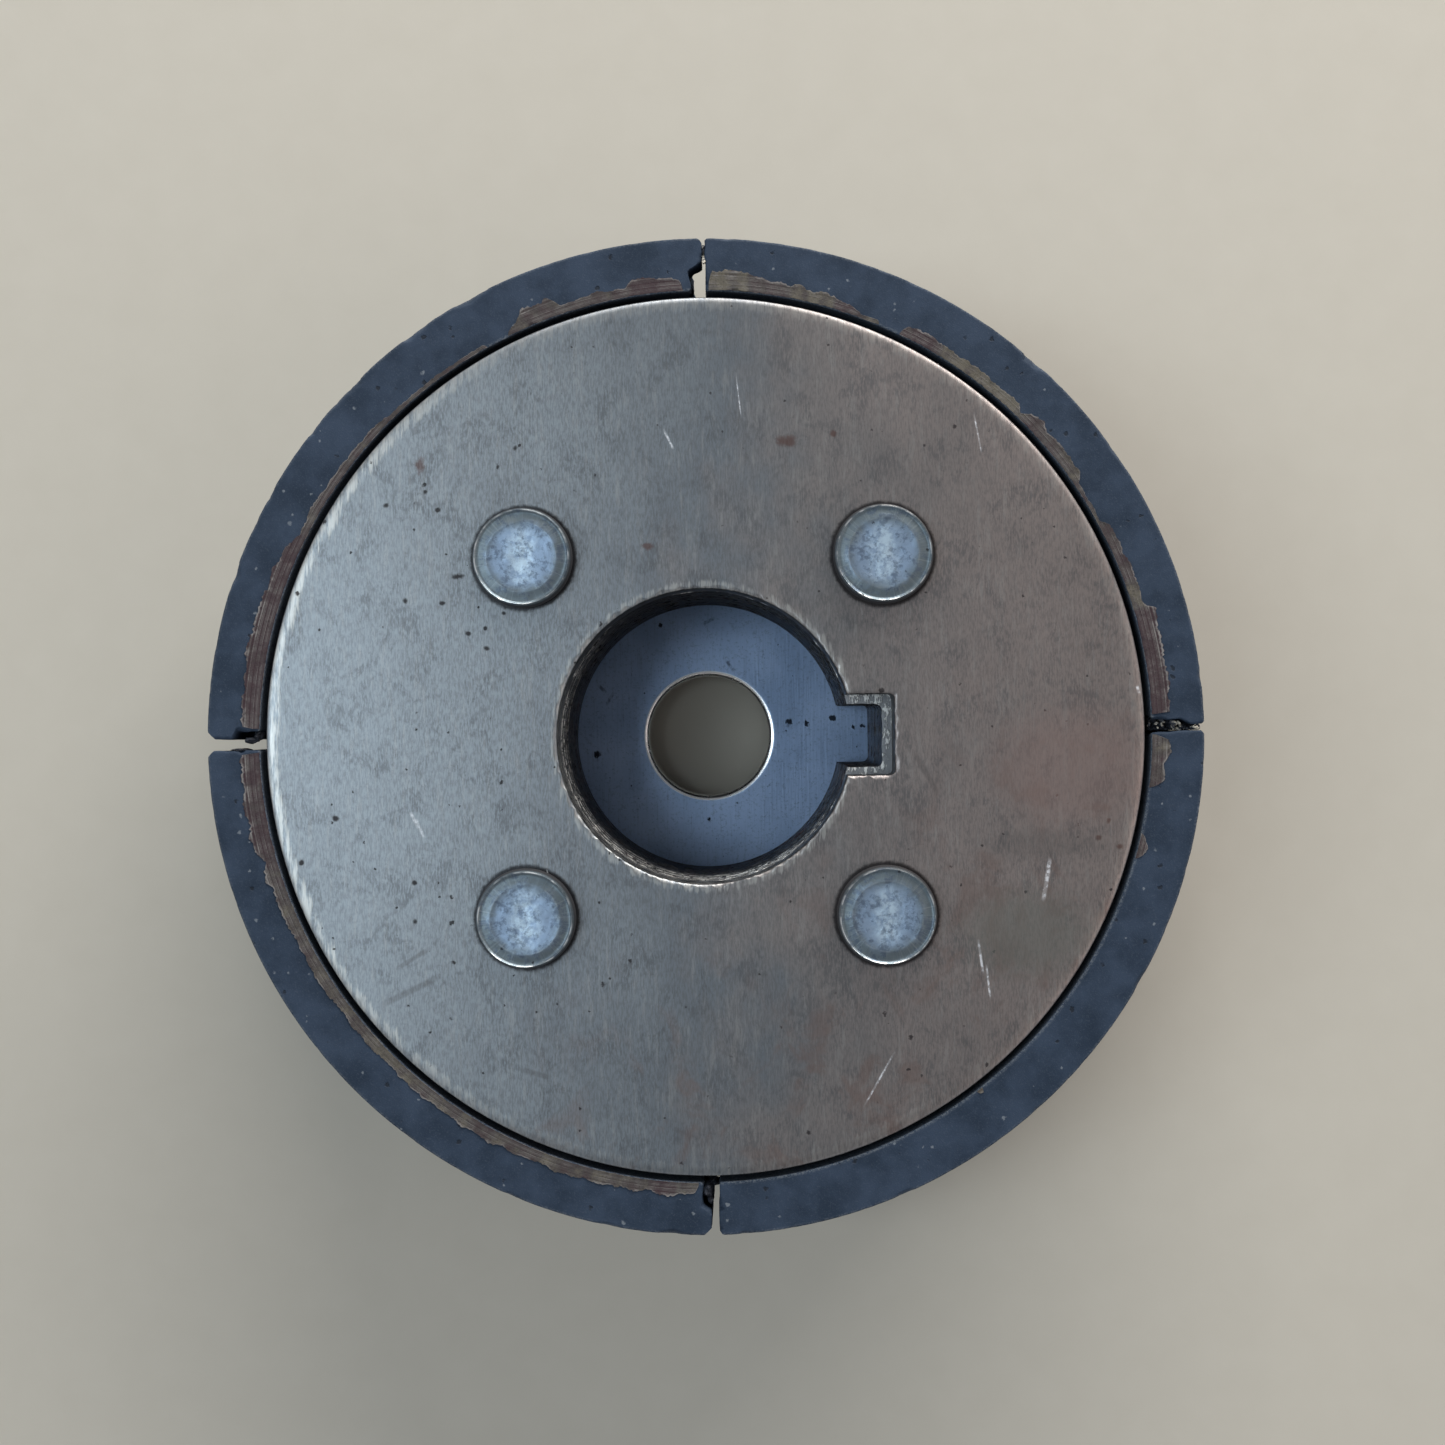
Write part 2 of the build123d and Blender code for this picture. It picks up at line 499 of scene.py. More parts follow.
def new_tree(name, **inputs):
    """A geometry tree with named inputs, each a socket type and its value, and its own in and out."""
    tree = bpy.data.node_groups.new(name, "GeometryNodeTree")
    tree.interface.new_socket("Geometry", in_out="INPUT", socket_type="NodeSocketGeometry")
    tree.interface.new_socket("Geometry", in_out="OUTPUT", socket_type="NodeSocketGeometry")
    for label, (kind, value) in inputs.items():
        socket = tree.interface.new_socket(label, in_out="INPUT", socket_type=f"NodeSocket{kind}")
        if value is not None:
            socket.default_value = value
    nodes = Nodes(tree)
    return nodes, nodes.add("NodeGroupInput")


def grow(name, base, nodes, **values):
    """Runs a geometry tree on a base object with the given inputs, and gives the plain mesh as a new
    object. The base keeps no modifier."""
    modifier = base.modifiers.new(name, "NODES")
    modifier.node_group = nodes.tree
    for item in nodes.tree.interface.items_tree:
        if item.in_out == "INPUT" and item.name in values:
            modifier[item.identifier] = values[item.name]
    ready = base.evaluated_get(bpy.context.evaluated_depsgraph_get())
    mesh = bpy.data.meshes.new_from_object(ready)
    base.modifiers.clear()
    mesh.name = name
    piece = bpy.data.objects.new(name, mesh)
    bpy.context.scene.collection.objects.link(piece)
    return piece


def sheet_tree(material):
    """Lifts a sheet to its level, turns and shifts it a little, and roughens its burr."""
    nodes, given = new_tree(
        "stacked_sheet",
        Level=("Float", 0.0),
        Turn=("Float", 0.0),
        Shift=("Vector", None),
        Burr=("Float", 0.00005),
        Seed=("Int", 0),
    )
    worn = nodes.add("GeometryNodeInputNamedAttribute", {"data_type": "FLOAT"}, {"Name": "worn"})
    seed = given.other("Seed")
    ragged = nodes.add(
        "ShaderNodeTexNoise", {"noise_dimensions": "4D"}, {"W": seed * 3.7, "Scale": 900.0, "Detail": 2.0}
    )
    lump = (ragged - 0.45) * worn * given.other("Burr") * 4
    position = nodes.add("GeometryNodeInputPosition")
    outward = nodes.add("ShaderNodeVectorMath", {"operation": "MULTIPLY"}, (position, (1.0, 1.0, 0.0)))
    outward = nodes.add("ShaderNodeVectorMath", {"operation": "NORMALIZE"}, (outward,))
    push = nodes.add("ShaderNodeVectorMath", {"operation": "SCALE"}, {"Vector": outward, "Scale": -lump})
    rough = nodes.add("GeometryNodeSetPosition", {}, {"Geometry": given, "Offset": push})
    place = nodes.add("ShaderNodeCombineXYZ", {}, {"Z": given.other("Level")})
    place = nodes.add("ShaderNodeVectorMath", {"operation": "ADD"}, (place, given.other("Shift")))
    turn = nodes.add("ShaderNodeCombineXYZ", {}, {"Z": given.other("Turn")})
    moved = nodes.add(
        "GeometryNodeTransform", {}, {"Geometry": rough, "Translation": place, "Rotation": turn}
    )
    real = nodes.add("GeometryNodeRealizeInstances", {}, (moved,))
    done = nodes.add("GeometryNodeSetMaterial", {}, {"Geometry": real, "Material": material})
    nodes.add("NodeGroupOutput", {}, (done,))
    return nodes


def lamination_steel(nodes, place):
    """Dark oxide on the punched walls with red and green blotches, painted shade on the +Y side of the bore,
    bare metal along the torn burrs, painted light on the burrs and streaks of the top sheets at the lower
    left, and a lighter face with painted glints where the top sheet shows as a ledge."""
    x, y, z = nodes.axes(place)
    radius = nodes.from_axis(place)
    worn = nodes.mark("worn")
    marks = nodes.noise(place, 0.35, 3, 0.6, (1, 1, 4))
    blotch = nodes.noise(place, 2.2, 3, 0.6)
    colour = nodes.mix(marks.between(0.3, 0.75), (0.02, 0.02, 0.026), (0.07, 0.073, 0.085))
    colour = nodes.mix(blotch.between(0.52, 0.7) * 0.6, colour, (0.07, 0.03, 0.032))
    colour = nodes.mix(blotch.between(0.42, 0.3) * 0.4, colour, (0.05, 0.07, 0.05))
    # Painted shade: the +Y side of the bore's wall, which faces away from the light, is darkened nearly to
    # black.
    painted_back_shade = (y / radius).between(-0.4, 0.7)
    colour = nodes.mix(painted_back_shade * 0.85, colour, (0.005, 0.005, 0.007))
    # Painted light: the bare burrs are real, but they are brightened mostly on the lower-left side, where the
    # light falls on the wall.
    lit_share = painted_lit_side(x, y, radius, -0.45, 0.7)
    near_mouth = z.between(stack_top - 8.0, stack_top - 2.0)
    torn = nodes.noise(place, 0.5, 3, 0.7).between(0.40, 0.58)
    burr_and_painted_light = worn * torn * (0.07 + near_mouth * lit_share * 0.93)
    colour = nodes.mix(burr_and_painted_light, colour, (0.92, 0.91, 0.88))
    # Painted highlight: bright streaks near the mouth, only on the lit lower-left side.
    painted_streaks = nodes.noise(place, 0.3, 3, 0.7, (2.5, 2.5, 0.4)).between(0.5, 0.62)
    colour = nodes.mix(painted_streaks * near_mouth * lit_share * 0.9, colour, (0.95, 0.93, 0.88))
    ledge = z.between(stack_top - 0.03, stack_top - 0.01)
    # Painted glints: white specks on the ledge stand in for the light sparkling on it.
    glint = nodes.noise(place, 0.35, 3, 0.7, (1, 2.5, 1)).between(0.5, 0.6)
    shelf = nodes.mix(glint, (0.36, 0.37, 0.39), (1.0, 1.0, 0.98))
    colour = nodes.mix(ledge, colour, shelf)
    return {
        "Base Color": colour,
        "Metallic": 0.9 - ledge * glint * 0.5,
        "Roughness": 0.55 - burr_and_painted_light * 0.2 + marks * 0.1,
        "Normal": nodes.bumps(marks + glint * ledge * 2, 0.03),
    }


punched_steel = finish("punched_steel", lamination_steel)
sheet_nodes = sheet_tree(punched_steel)
blank = lamination_sheet()
stack_dice = random.Random(17)
for number, node in enumerate(lamination_names, start=1):
    low, high = millimetres(node)
    away = stack_dice.uniform(0, math.tau)
    off = stack_dice.uniform(0.0, 0.05) * METRES
    sheet = grow(
        f"sheet_{number:02d}",
        blank,
        sheet_nodes,
        Level=float(low[2] * METRES),
        Turn=math.radians(stack_dice.uniform(-0.3, 0.3)),
        Shift=(off * math.cos(away), off * math.sin(away), 0.0),
        Burr=stack_dice.uniform(0.03, 0.09) * METRES,
        Seed=number,
    )
    fit_out(sheet, punched_steel, "lamination_steel", node)
bpy.data.objects.remove(blank)

# ---------------------------------------------------------------------------------------------------
# End plate. A thicker punched disc of cold-rolled steel on top of the stack. Its rim is rolled down
# unevenly all round, the mouth of the bore is deburred by hand, and its face keeps the rolled grain,
# with a few rust spots, specks of oil and scratches from handling.
# ---------------------------------------------------------------------------------------------------
end_low, end_high = millimetres("end_plate")
roll_width = 0.8
roll_depth = 0.25
face_level = end_high[2]
end_key_half_width = 3.05
end_key_reach = 14.25
end_key_corner = 0.4


def end_plate_borders():
    """The rings of the rim, of the mouth with its larger keyway, and of the rivet holes."""
    rim = circle(1.0, 900)
    px, py = rim.T
    grain_width = 0.5
    grain_length = 3.5
    torn_grain = unevenness(px * core_radius / grain_width, py * core_radius / grain_length, 3.0)
    ragged = 1 + 0.8 * torn_grain[:, None] + 0.25 * waver(rim * core_radius, 5, 12)[:, None]
    # each step is an inset from the edge and a drop from the face
    steps = [(0.0, -roll_depth), (0.04, -0.15), (0.14, -0.08), (0.4, -0.025)]
    rim_rings = [at_level(rim * core_radius, end_low[2])]
    rim_rings += [at_level(rim * (core_radius - inset), face_level + drop) for inset, drop in steps]
    start = roll_width * np.clip(ragged, 0.68, 1.7)
    rim_rings.append(at_level(rim * (core_radius - start), face_level))
    rim_rings.append(at_level(rim * (core_radius - start - 0.25), face_level))
    mouth, into_steel = keyed_outline(0.16, end_key_half_width, end_key_reach, end_key_corner)
    torn = np.clip(1 + 1.0 * waver(mouth, 0.5, 21) + 0.4 * waver(mouth, 3, 22), 0.25, 2.8)[:, None]
    steps = [(0.0, -0.3), (0.02, -0.14), (0.07, -0.06)]
    mouth_rings = [at_level(mouth, end_low[2])]
    mouth_rings += [at_level(mouth + into_steel * inset * torn, face_level + drop) for inset, drop in steps]
    mouth_rings.append(at_level(mouth + into_steel * 0.16 * torn, face_level - 0.015))
    mouth_rings.append(at_level(mouth + into_steel * (0.16 * torn + 0.06), face_level))
    mouth_rings.append(at_level(mouth + into_steel * (0.16 * torn + 0.18), face_level))
    return [rim_rings, mouth_rings] + rivet_holes(end_low[2], face_level)


def patch(nodes, place, centre, size, ragged):
    """A soft blot round a point, with a ragged border."""
    x, y = nodes.axes(place)[:2]
    (cx, cy), (rx, ry) = centre, size
    reach = (((x - cx) / rx) ** 2 + ((y - cy) / ry) ** 2) ** 0.5
    return (reach + ragged).between(1.0, 0.35)


def strokes(nodes, place, lines):
    """Several straight marks, each given by its two ends and its width."""
    marks = stroke(nodes, place, *lines[0])
    for line in lines[1:]:
        marks = marks.at_least(stroke(nodes, place, *line))
    return marks


def from_rivet(nodes, place):
    """How far a place is from the nearest rivet's axis: along X, along Y and straight."""
    x, y = nodes.axes(place)[:2]
    off_x, off_y = abs(x) - rivet_reach, abs(y) - rivet_reach
    return off_x, off_y, (off_x * off_x + off_y * off_y) ** 0.5


# each is a centre and a size
rust_spots = (
    ((-21.2, 20.6), (0.5, 0.75)),
    ((6.4, 22.1), (1.0, 0.6)),
    ((-4.1, 14.3), (0.6, 0.4)),
    ((9.9, 22.6), (0.35, 0.35)),
    ((31.0, -8.6), (0.4, 0.3)),
    ((29.4, -7.9), (0.3, 0.3)),
    ((30.2, -6.6), (0.25, 0.3)),
)
oil_specks = (
    ((-23.8, 17.6), (0.32, 0.25)),
    ((-19.9, 17.2), (0.25, 0.25)),
    ((-27.8, -5.9), (0.35, 0.3)),
    ((-30.4, -9.2), (0.28, 0.28)),
    ((-21.9, -10.8), (0.28, 0.25)),
    ((-21.9, -13.7), (0.22, 0.28)),
    ((-18.4, 12.2), (0.6, 0.3)),
    ((-22.4, 10.4), (0.25, 0.28)),
    ((-19.6, 10.2), (0.28, 0.22)),
    ((-17.7, 7.9), (0.3, 0.22)),
    ((-16.4, 8.3), (0.22, 0.22)),
    ((-16.3, 6.8), (0.32, 0.25)),
    ((-15.0, 9.4), (0.22, 0.2)),
    ((-20.8, 18.6), (0.22, 0.22)),
    ((-14.0, 21.8), (0.25, 0.25)),
)
# each is two ends and a width
bright_strokes = (
    ((-2.9, 23.2), (-2.1, 21.5), 0.12),
    ((-22.2, -5.4), (-21.5, -6.9), 0.17),
    ((-21.8, -5.9), (-21.1, -7.5), 0.14),
    ((20.3, -15.3), (20.7, -18.2), 0.13),
    ((20.9, -17.2), (21.2, -20.0), 0.11),
    ((25.8, -9.2), (25.2, -12.8), 0.22),
    ((14.1, -23.6), (11.5, -28.1), 0.1),
    ((20.4, 24.2), (21.0, 20.9), 0.08),
    ((32.4, 3.5), (32.6, 2.8), 0.16),
    ((-12.0, -9.6), (-11.4, -12.9), 0.07),
    ((2.6, 27.4), (3.0, 23.8), 0.06),
)
dark_strokes = (
    ((-25.0, -20.2), (-19.6, -17.6), 0.35),
    ((-23.6, -17.4), (-20.6, -15.6), 0.25),
    ((-14.2, -24.8), (-11.6, -25.6), 0.3),
    ((15.5, -1.0), (17.6, -4.8), 0.3),
)


def face_steel(nodes, place):
    """Rolled steel with fine grain along Y, cool and light on the left, darker in the middle and browner on
    the right, with a pale torn fringe at its rim and at the mouth, painted brighter on the left as a
    highlight, painted light on the mouth's wall at the lower left, and a painted ring of shade round each
    rivet."""
    x, y, z = nodes.axes(place)
    radius = nodes.from_axis(place)
    on_top = z.between(face_level - 0.26, face_level - 0.1)
    left_side = x.between(-12, -28)
    fine = nodes.noise(place, 0.12, 2, 0.7, (1, 5, 1))
    coarse = nodes.noise(place, 0.32, 3, 0.65, (1, 9, 1))
    mottle = nodes.noise(place, 7, 4, 0.6, (1, 1.6, 1))
    cool_to_warm = (x * 0.9 + y * -0.04 + mottle * 28 - 14).between(-24, 26)
    tints = [
        (0.0, (0.37, 0.405, 0.435)),
        (0.45, (0.24, 0.262, 0.288)),
        (0.68, (0.31, 0.283, 0.276)),
        (1.0, (0.39, 0.33, 0.31)),
    ]
    colour = nodes.add("ShaderNodeValToRGB", {"stops": tints}, (cool_to_warm,))
    colour = nodes.mix(fine.between(0.38, 0.66) * (0.45 - left_side * 0.15), colour, (0.14, 0.14, 0.145))
    colour = nodes.mix(coarse.between(0.5, 0.72) * 0.22, colour, (0.56, 0.55, 0.53))
    rubbed = nodes.noise(place, 2.2, 5, 0.75, (1, 1.4, 1), 0.5).between(0.48, 0.64)
    colour = nodes.mix(rubbed * fine.between(0.3, 0.55) * 0.4, colour, (0.11, 0.115, 0.125))
    speckle = nodes.noise(place, 0.3, 4, 0.75)
    colour = nodes.mix(speckle.between(0.5, 0.75) * 0.3, colour, (0.14, 0.135, 0.135))
    stain = nodes.noise(place, 3.2, 4, 0.65, (1, 1.4, 1), 0.6).between(0.5, 0.68)
    stained = (x * 0.6 + y * -0.8).between(4, 26)
    colour = nodes.mix(stain * stained * 0.45, colour, (0.25, 0.165, 0.14))
    torn = nodes.noise(place, 0.28, 3, 0.7, (1, 10, 1))
    fringe = (radius + torn * 1.6 - 0.8).between(core_radius - 1.0, core_radius - 0.65)
    mouth = (radius + torn * -1.2 + 0.6).between(bore_radius + 0.65, bore_radius + 0.35)
    # The torn fringes are real, but the rim's fringe is painted far brighter on the left as a highlight from
    # the light on that side.
    pale = (fringe * (left_side * 0.55 + 0.15) + mouth * 0.4) * torn.between(0.4, 0.6)
    colour = nodes.mix(pale, colour, (0.72, 0.71, 0.67))
    ragged = nodes.noise(place, 0.5, 3, 0.7) * 1.2 - 0.6
    for centre, size in rust_spots:
        colour = nodes.mix(patch(nodes, place, centre, size, ragged) * 0.6, colour, (0.12, 0.045, 0.03))
    specks = nodes.spots(place, 1.9, 0.24, 0.16).at_least(nodes.spots(place, 0.8, 0.13, 0.13))
    for centre, size in oil_specks:
        specks = specks.at_least(patch(nodes, place, centre, size, ragged))
    colour = nodes.mix(specks * 0.85, colour, (0.03, 0.027, 0.03))
    # Painted shade: a dark ring on the face round the base of each rivet head.
    painted_rivet_shade = (from_rivet(nodes, place)[2] + ragged * 0.3).between(4.15, 3.85)
    colour = nodes.mix(painted_rivet_shade * 0.85, colour, (0.02, 0.018, 0.02))
    scuffs = strokes(nodes, place, dark_strokes)
    colour = nodes.mix(scuffs * 0.35, colour, (0.11, 0.10, 0.10))
    smear = patch(nodes, place, (25.5, -8.3), (6.0, 1.6), ragged) * 0.25
    colour = nodes.mix(smear, colour, (0.13, 0.125, 0.12))
    blush = patch(nodes, place, (27.5, -2.5), (8.0, 6.0), ragged * 0.4) * 0.35
    colour = nodes.mix(blush, colour, (0.43, 0.29, 0.26))
    patina = patch(nodes, place, (24.0, -15.0), (6.5, 4.5), ragged * 0.6) * 0.45
    colour = nodes.mix(patina, colour, (0.23, 0.245, 0.22))
    cuts = strokes(nodes, place, bright_strokes)
    broken = nodes.noise(place, 0.4, 3, 0.7).between(0.44, 0.56)
    cuts = cuts * (broken * 0.7 + 0.3)
    colour = nodes.mix(cuts * 0.75, colour, (0.9, 0.92, 0.96))
    bare_wall = nodes.mix(fine.between(0.4, 0.65), (0.022, 0.022, 0.026), (0.075, 0.075, 0.08))
    # Painted light: bright scores on the mouth's wall, only on its lower-left side, where the light falls.
    lit_share = painted_lit_side(x, y, radius, -0.2, 0.8)
    lit_scores = nodes.noise(place, 0.35, 3, 0.7, (3, 3, 0.5)).between(0.48, 0.58)
    bare_wall = nodes.mix(lit_scores * lit_share * 0.75, bare_wall, (0.8, 0.78, 0.73))
    colour = nodes.mix(on_top, bare_wall, colour)
    height = fine * 0.5 + coarse * 0.5 - cuts * 0.6 - specks * 0.3 + fringe * torn
    return {
        "Base Color": colour,
        "Metallic": 1.0,
        "Roughness": 0.35 + fine * 0.12 + mottle * 0.08 + specks * 0.2 + cuts * 0.2,
        "Normal": nodes.bumps(height, 0.006),
    }


end_plate = plate("face_plate", end_plate_borders())
fit_out(end_plate, finish("rolled_face_steel", face_steel), "plate_steel", "end_plate")

# ---------------------------------------------------------------------------------------------------
# Rivets. Four zinc-plated steel rivets through the whole core, each with a low head at both ends. The
# setting tool leaves a turned disc in the middle of a head, a duller band round it, and a thin raised
# lip where the metal ran out to the edge.
# ---------------------------------------------------------------------------------------------------
shank_radius = 2.5
disc_radius = 2.62
disc_drop = 0.055  # from the lip's top down to the disc
dish_depth = 0.05
lip_radius = 3.52


def rivet_profile():
    """Radii and levels of the upper half: the shank's middle, then under the head and over its top."""
    top = rivet_high[2]
    shank = [(shank_radius, (face_level + hub_low[2]) / 2), (shank_radius, face_level)]
    side = [(3.66, -1.5), (3.74, -1.38), (3.75, -1.1), (3.72, -0.75), (3.66, -0.45), (3.60, -0.25)]
    lip = [
        (lip_radius + 0.04, -0.06),
        (lip_radius, 0.0),
        (lip_radius - 0.05, -0.03),
        (lip_radius - 0.11, -0.12),
    ]
    band = [(3.3, -0.15), (3.15, -0.13), (3.0, -0.11), (2.85, -0.08), (2.74, -0.06)]
    step = [(disc_radius + 0.04, -0.045), (disc_radius - 0.04, -0.045), (disc_radius - 0.12, -disc_drop)]
    dish = [
        (radius, -disc_drop - dish_depth * (1 - (radius / disc_radius) ** 2))
        for radius in np.linspace(2.4, 0.12, 20)
    ]
    return shank + [(radius, top + drop) for radius, drop in side + lip + band + step + dish]


def rivet_shape():
    """One rivet on the axis: shank and both heads, closed at the poles."""
    upper = rivet_profile()
    middle = (rivet_high[2] + rivet_low[2]) / 2
    lower = [(radius, 2 * middle - level) for radius, level in upper[1:]]
    profile = lower[::-1] + upper
    count = 96
    points = np.vstack(lathe_rings(profile, count))
    faces = []
    for ring in range(len(profile) - 1):
        for i in range(count):
            j = (i + 1) % count
            a, b = ring * count, (ring + 1) * count
            faces.append((a + i, a + j, b + j, b + i))
    poles = np.array([[0, 0, profile[0][1]], [0, 0, profile[-1][1]]])
    first, last = len(points), len(points) + 1
    top_ring = (len(profile) - 1) * count
    for i in range(count):
        j = (i + 1) % count
        faces.append((first, j, i))
        faces.append((last, top_ring + i, top_ring + j))
    return mesh_piece("rivet_shape", np.vstack([points, poles]), faces)


def rivet_tree(shape, material):
    """Sets a rivet at each point, turned at random, and hammers its heads with small dimples."""
    nodes, given = new_tree(
        "set_rivets", Dimple=("Float", 0.00003), Lump=("Float", 500.0), Seed=("Int", 0)
    )
    rivet = nodes.add("GeometryNodeObjectInfo", {}, {"Object": shape}).other("Geometry")
    turn = nodes.add(
        "FunctionNodeRandomValue",
        {"data_type": "FLOAT"},
        {"Min": 0.0, "Max": math.tau, "Seed": given.other("Seed")},
    )
    turn = nodes.add("ShaderNodeCombineXYZ", {}, {"Z": turn})
    set_out = nodes.add(
        "GeometryNodeInstanceOnPoints", {}, {"Points": given, "Instance": rivet, "Rotation": turn}
    )
    real = nodes.add("GeometryNodeRealizeInstances", {}, (set_out,))
    rough = nodes.add("ShaderNodeTexNoise", {}, {"Scale": given.other("Lump"), "Detail": 3.0})
    position = nodes.add("GeometryNodeInputPosition")
    z = nodes.add("ShaderNodeSeparateXYZ", {}, (position,)).other("Z")
    level = z * (1 / METRES)
    head = level.between(face_level + 1.1, rivet_high[2] - 0.1)
    tail = level.between(hub_low[2] - 1.1, rivet_low[2] + 0.1)
    drop = (rough.at_least(0.42) - 0.42) * given.other("Dimple") * -8 * (head - tail)
    push = nodes.add("ShaderNodeCombineXYZ", {}, {"Z": drop})
    hammered = nodes.add("GeometryNodeSetPosition", {}, {"Geometry": real, "Offset": push})
    done = nodes.add("GeometryNodeSetMaterial", {}, {"Geometry": hammered, "Material": material})
    nodes.add("NodeGroupOutput", {}, (done,))
    return nodes


def rivet_zinc(nodes, place):
    """Zinc gone blue-white and mottled on the turned disc, with a painted highlight streak along Y, grey and
    radially scored on the band, and painted shade on the head's side wall."""
    off_x, off_y, radius = from_rivet(nodes, place)
    cloud = nodes.noise(place, 1.4, 5, 0.65, distort=0.8)
    disc = (radius + cloud * 1.6 - 0.8).between(disc_radius + 0.35, disc_radius - 0.8)
    colour = nodes.mix(disc, (0.175, 0.215, 0.24), (0.32, 0.425, 0.575))
    shade = nodes.noise(place, 0.8, 5, 0.75, distort=0.15).between(0.48, 0.62)
    colour = nodes.mix(shade * 0.65, colour, (0.10, 0.135, 0.195))
    off_middle = nodes.add("ShaderNodeCombineXYZ", {}, {"X": off_x, "Y": off_y})
    shortened = {"Vector": off_middle, "Scale": 1 / radius}
    bearing = nodes.add("ShaderNodeVectorMath", {"operation": "SCALE"}, shortened)
    rays = nodes.noise(bearing, 0.045, 2, 0.6)
    # Painted highlight: a bright streak along Y across the disc, standing in for light caught by the turned
    # grooves.
    painted_highlight = abs(off_x + cloud * 1.6 - 0.8).between(1.6, 0.1) * radius.between(2.7, 1.2)
    painted_highlight = painted_highlight * nodes.noise(place, 0.7, 4, 0.7).between(0.35, 0.6)
    colour = nodes.mix(painted_highlight * 0.8 * (1 - shade * 0.5), colour, (0.70, 0.87, 1.0))
    colour = nodes.mix(rays.between(0.5, 0.7) * (1 - disc) * 0.2, colour, (0.50, 0.54, 0.54))
    lip = abs(radius - lip_radius).between(0.09, 0.03) + abs(radius - disc_radius).between(0.09, 0.03) * 0.12
    broken = nodes.noise(place, 0.9, 2).between(0.42, 0.62)
    colour = nodes.mix((lip * (broken * 0.75 + 0.05)).at_most(1.0), colour, (0.8, 0.82, 0.82))
    specks = nodes.spots(place, 0.8, 0.15, 0.16) * radius.between(1.4, 2.4)
    colour = nodes.mix(specks * 0.85, colour, (0.03, 0.03, 0.035))
    # Painted shade: the head's side wall is darkened all round.
    wall = radius.between(lip_radius + 0.06, lip_radius + 0.16)
    colour = nodes.mix(wall, colour, (0.075, 0.075, 0.08))
    turned = nodes.noise(nodes.add("ShaderNodeCombineXYZ", {}, {"X": radius}), 0.11, 2, 0.6)
    height = turned * disc * 0.7 + rays * (1 - disc) * 0.6 + shade * 0.5
    return {
        "Base Color": colour,
        "Metallic": 0.9,
        "Roughness": 0.40 + cloud * 0.12 - lip * 0.1 + wall * 0.25,
        "Normal": nodes.bumps(height, 0.012),
    }


rivet = rivet_shape()
zinc = finish("rivet_zinc", rivet_zinc)
rivet_points = mesh_piece("rivet_points", [(px, py, 0.0) for px, py in rivet_places], [])
set_rivets = grow(
    "set_rivets", rivet_points, rivet_tree(rivet, zinc), Dimple=0.02 * METRES, Lump=700.0, Seed=4
)
tidy_faces(set_rivets, 50.0)
fit_out(set_rivets, zinc, "rivet_steel", "rivets")
bpy.data.objects.remove(rivet)
bpy.data.objects.remove(rivet_points)

# ---------------------------------------------------------------------------------------------------
# Magnets. Four arcs of pressed and ground ferrite, dark blue-grey and matt. Ferrite is as brittle as
# china, so every edge is nicked, and at most ends the inner half has broken away and left a step.
# ---------------------------------------------------------------------------------------------------
magnet_low, magnet_high = millimetres("magnet_1")
magnet_bottom, magnet_top = magnet_low[2], magnet_high[2]
magnet_outer = -millimetres("magnet_2")[0][0] - 0.01  # a hair inside the CAD magnets
magnet_inner = core_radius + 0.5
magnet_thickness = magnet_outer - magnet_inner
gap_angles = (0.45, 89.6, 180.5, 270.7, 360.45)
gap_widths = (0.4, 0.2, 0.8, 0.5, 0.4)


def graded(length, fine, coarse, reach=1.2):
    """Distances from 0 to length, fine near both ends and coarse between."""
    ends = [0.0]
    while ends[-1] < min(reach, length / 2 - fine):
        ends.append(ends[-1] + fine * (1 + ends[-1] / reach))
    ends = np.array(ends)
    middle = np.linspace(ends[-1], length - ends[-1], max(2, math.ceil((length - 2 * ends[-1]) / coarse) + 1))
    return np.r_[ends[:-1], middle, (length - ends[:-1])[::-1]]


def block_shell(spans):
    """The surface of a block as a grid: its points' three distances, and its faces."""
    counts = [len(span) for span in spans]
    index, points, faces = {}, [], []

    def point(*key):
        """The number of a grid point, which is added when it is first asked for."""
        if key not in index:
            index[key] = len(points)
            points.append([spans[axis][key[axis]] for axis in range(3)])
        return index[key]

    for axis in range(3):
        a, b = (axis + 1) % 3, (axis + 2) % 3
        for side in (0, counts[axis] - 1):
            for i in range(counts[a] - 1):
                for j in range(counts[b] - 1):
                    corners = []
                    for di, dj in ((0, 0), (1, 0), (1, 1), (0, 1)):
                        key = [0, 0, 0]
                        key[axis], key[a], key[b] = side, i + di, j + dj
                        corners.append(point(*key))
                    faces.append(corners if side else corners[::-1])
    return np.array(points), faces


def nicked(near, far, depth):
    """Breaks the edge between two faces. near and far are the distances from them, and depth is how far
    the break cuts back at each point."""
    short = np.maximum(depth - near - far, 0) / 2
    return near + short, far + short


def lumps(places, size, seed):
    """Smooth noise along a line, with lumps of a size."""
    return unevenness(places / size, seed * 5.1, 0.0)


def chips(places, seed, base, nick, often):
    """How deep an edge is broken along it: a small even break, with deeper nicks here and there."""
    even = base * (1 + lumps(places, 0.9, seed) * 0.9 + lumps(places, 0.35, seed + 60) * 0.6)
    deep = nick * np.clip(lumps(places, 2.3, seed + 30) - often, 0, 1)
    return even + deep * (1 + lumps(places, 0.5, seed + 90))


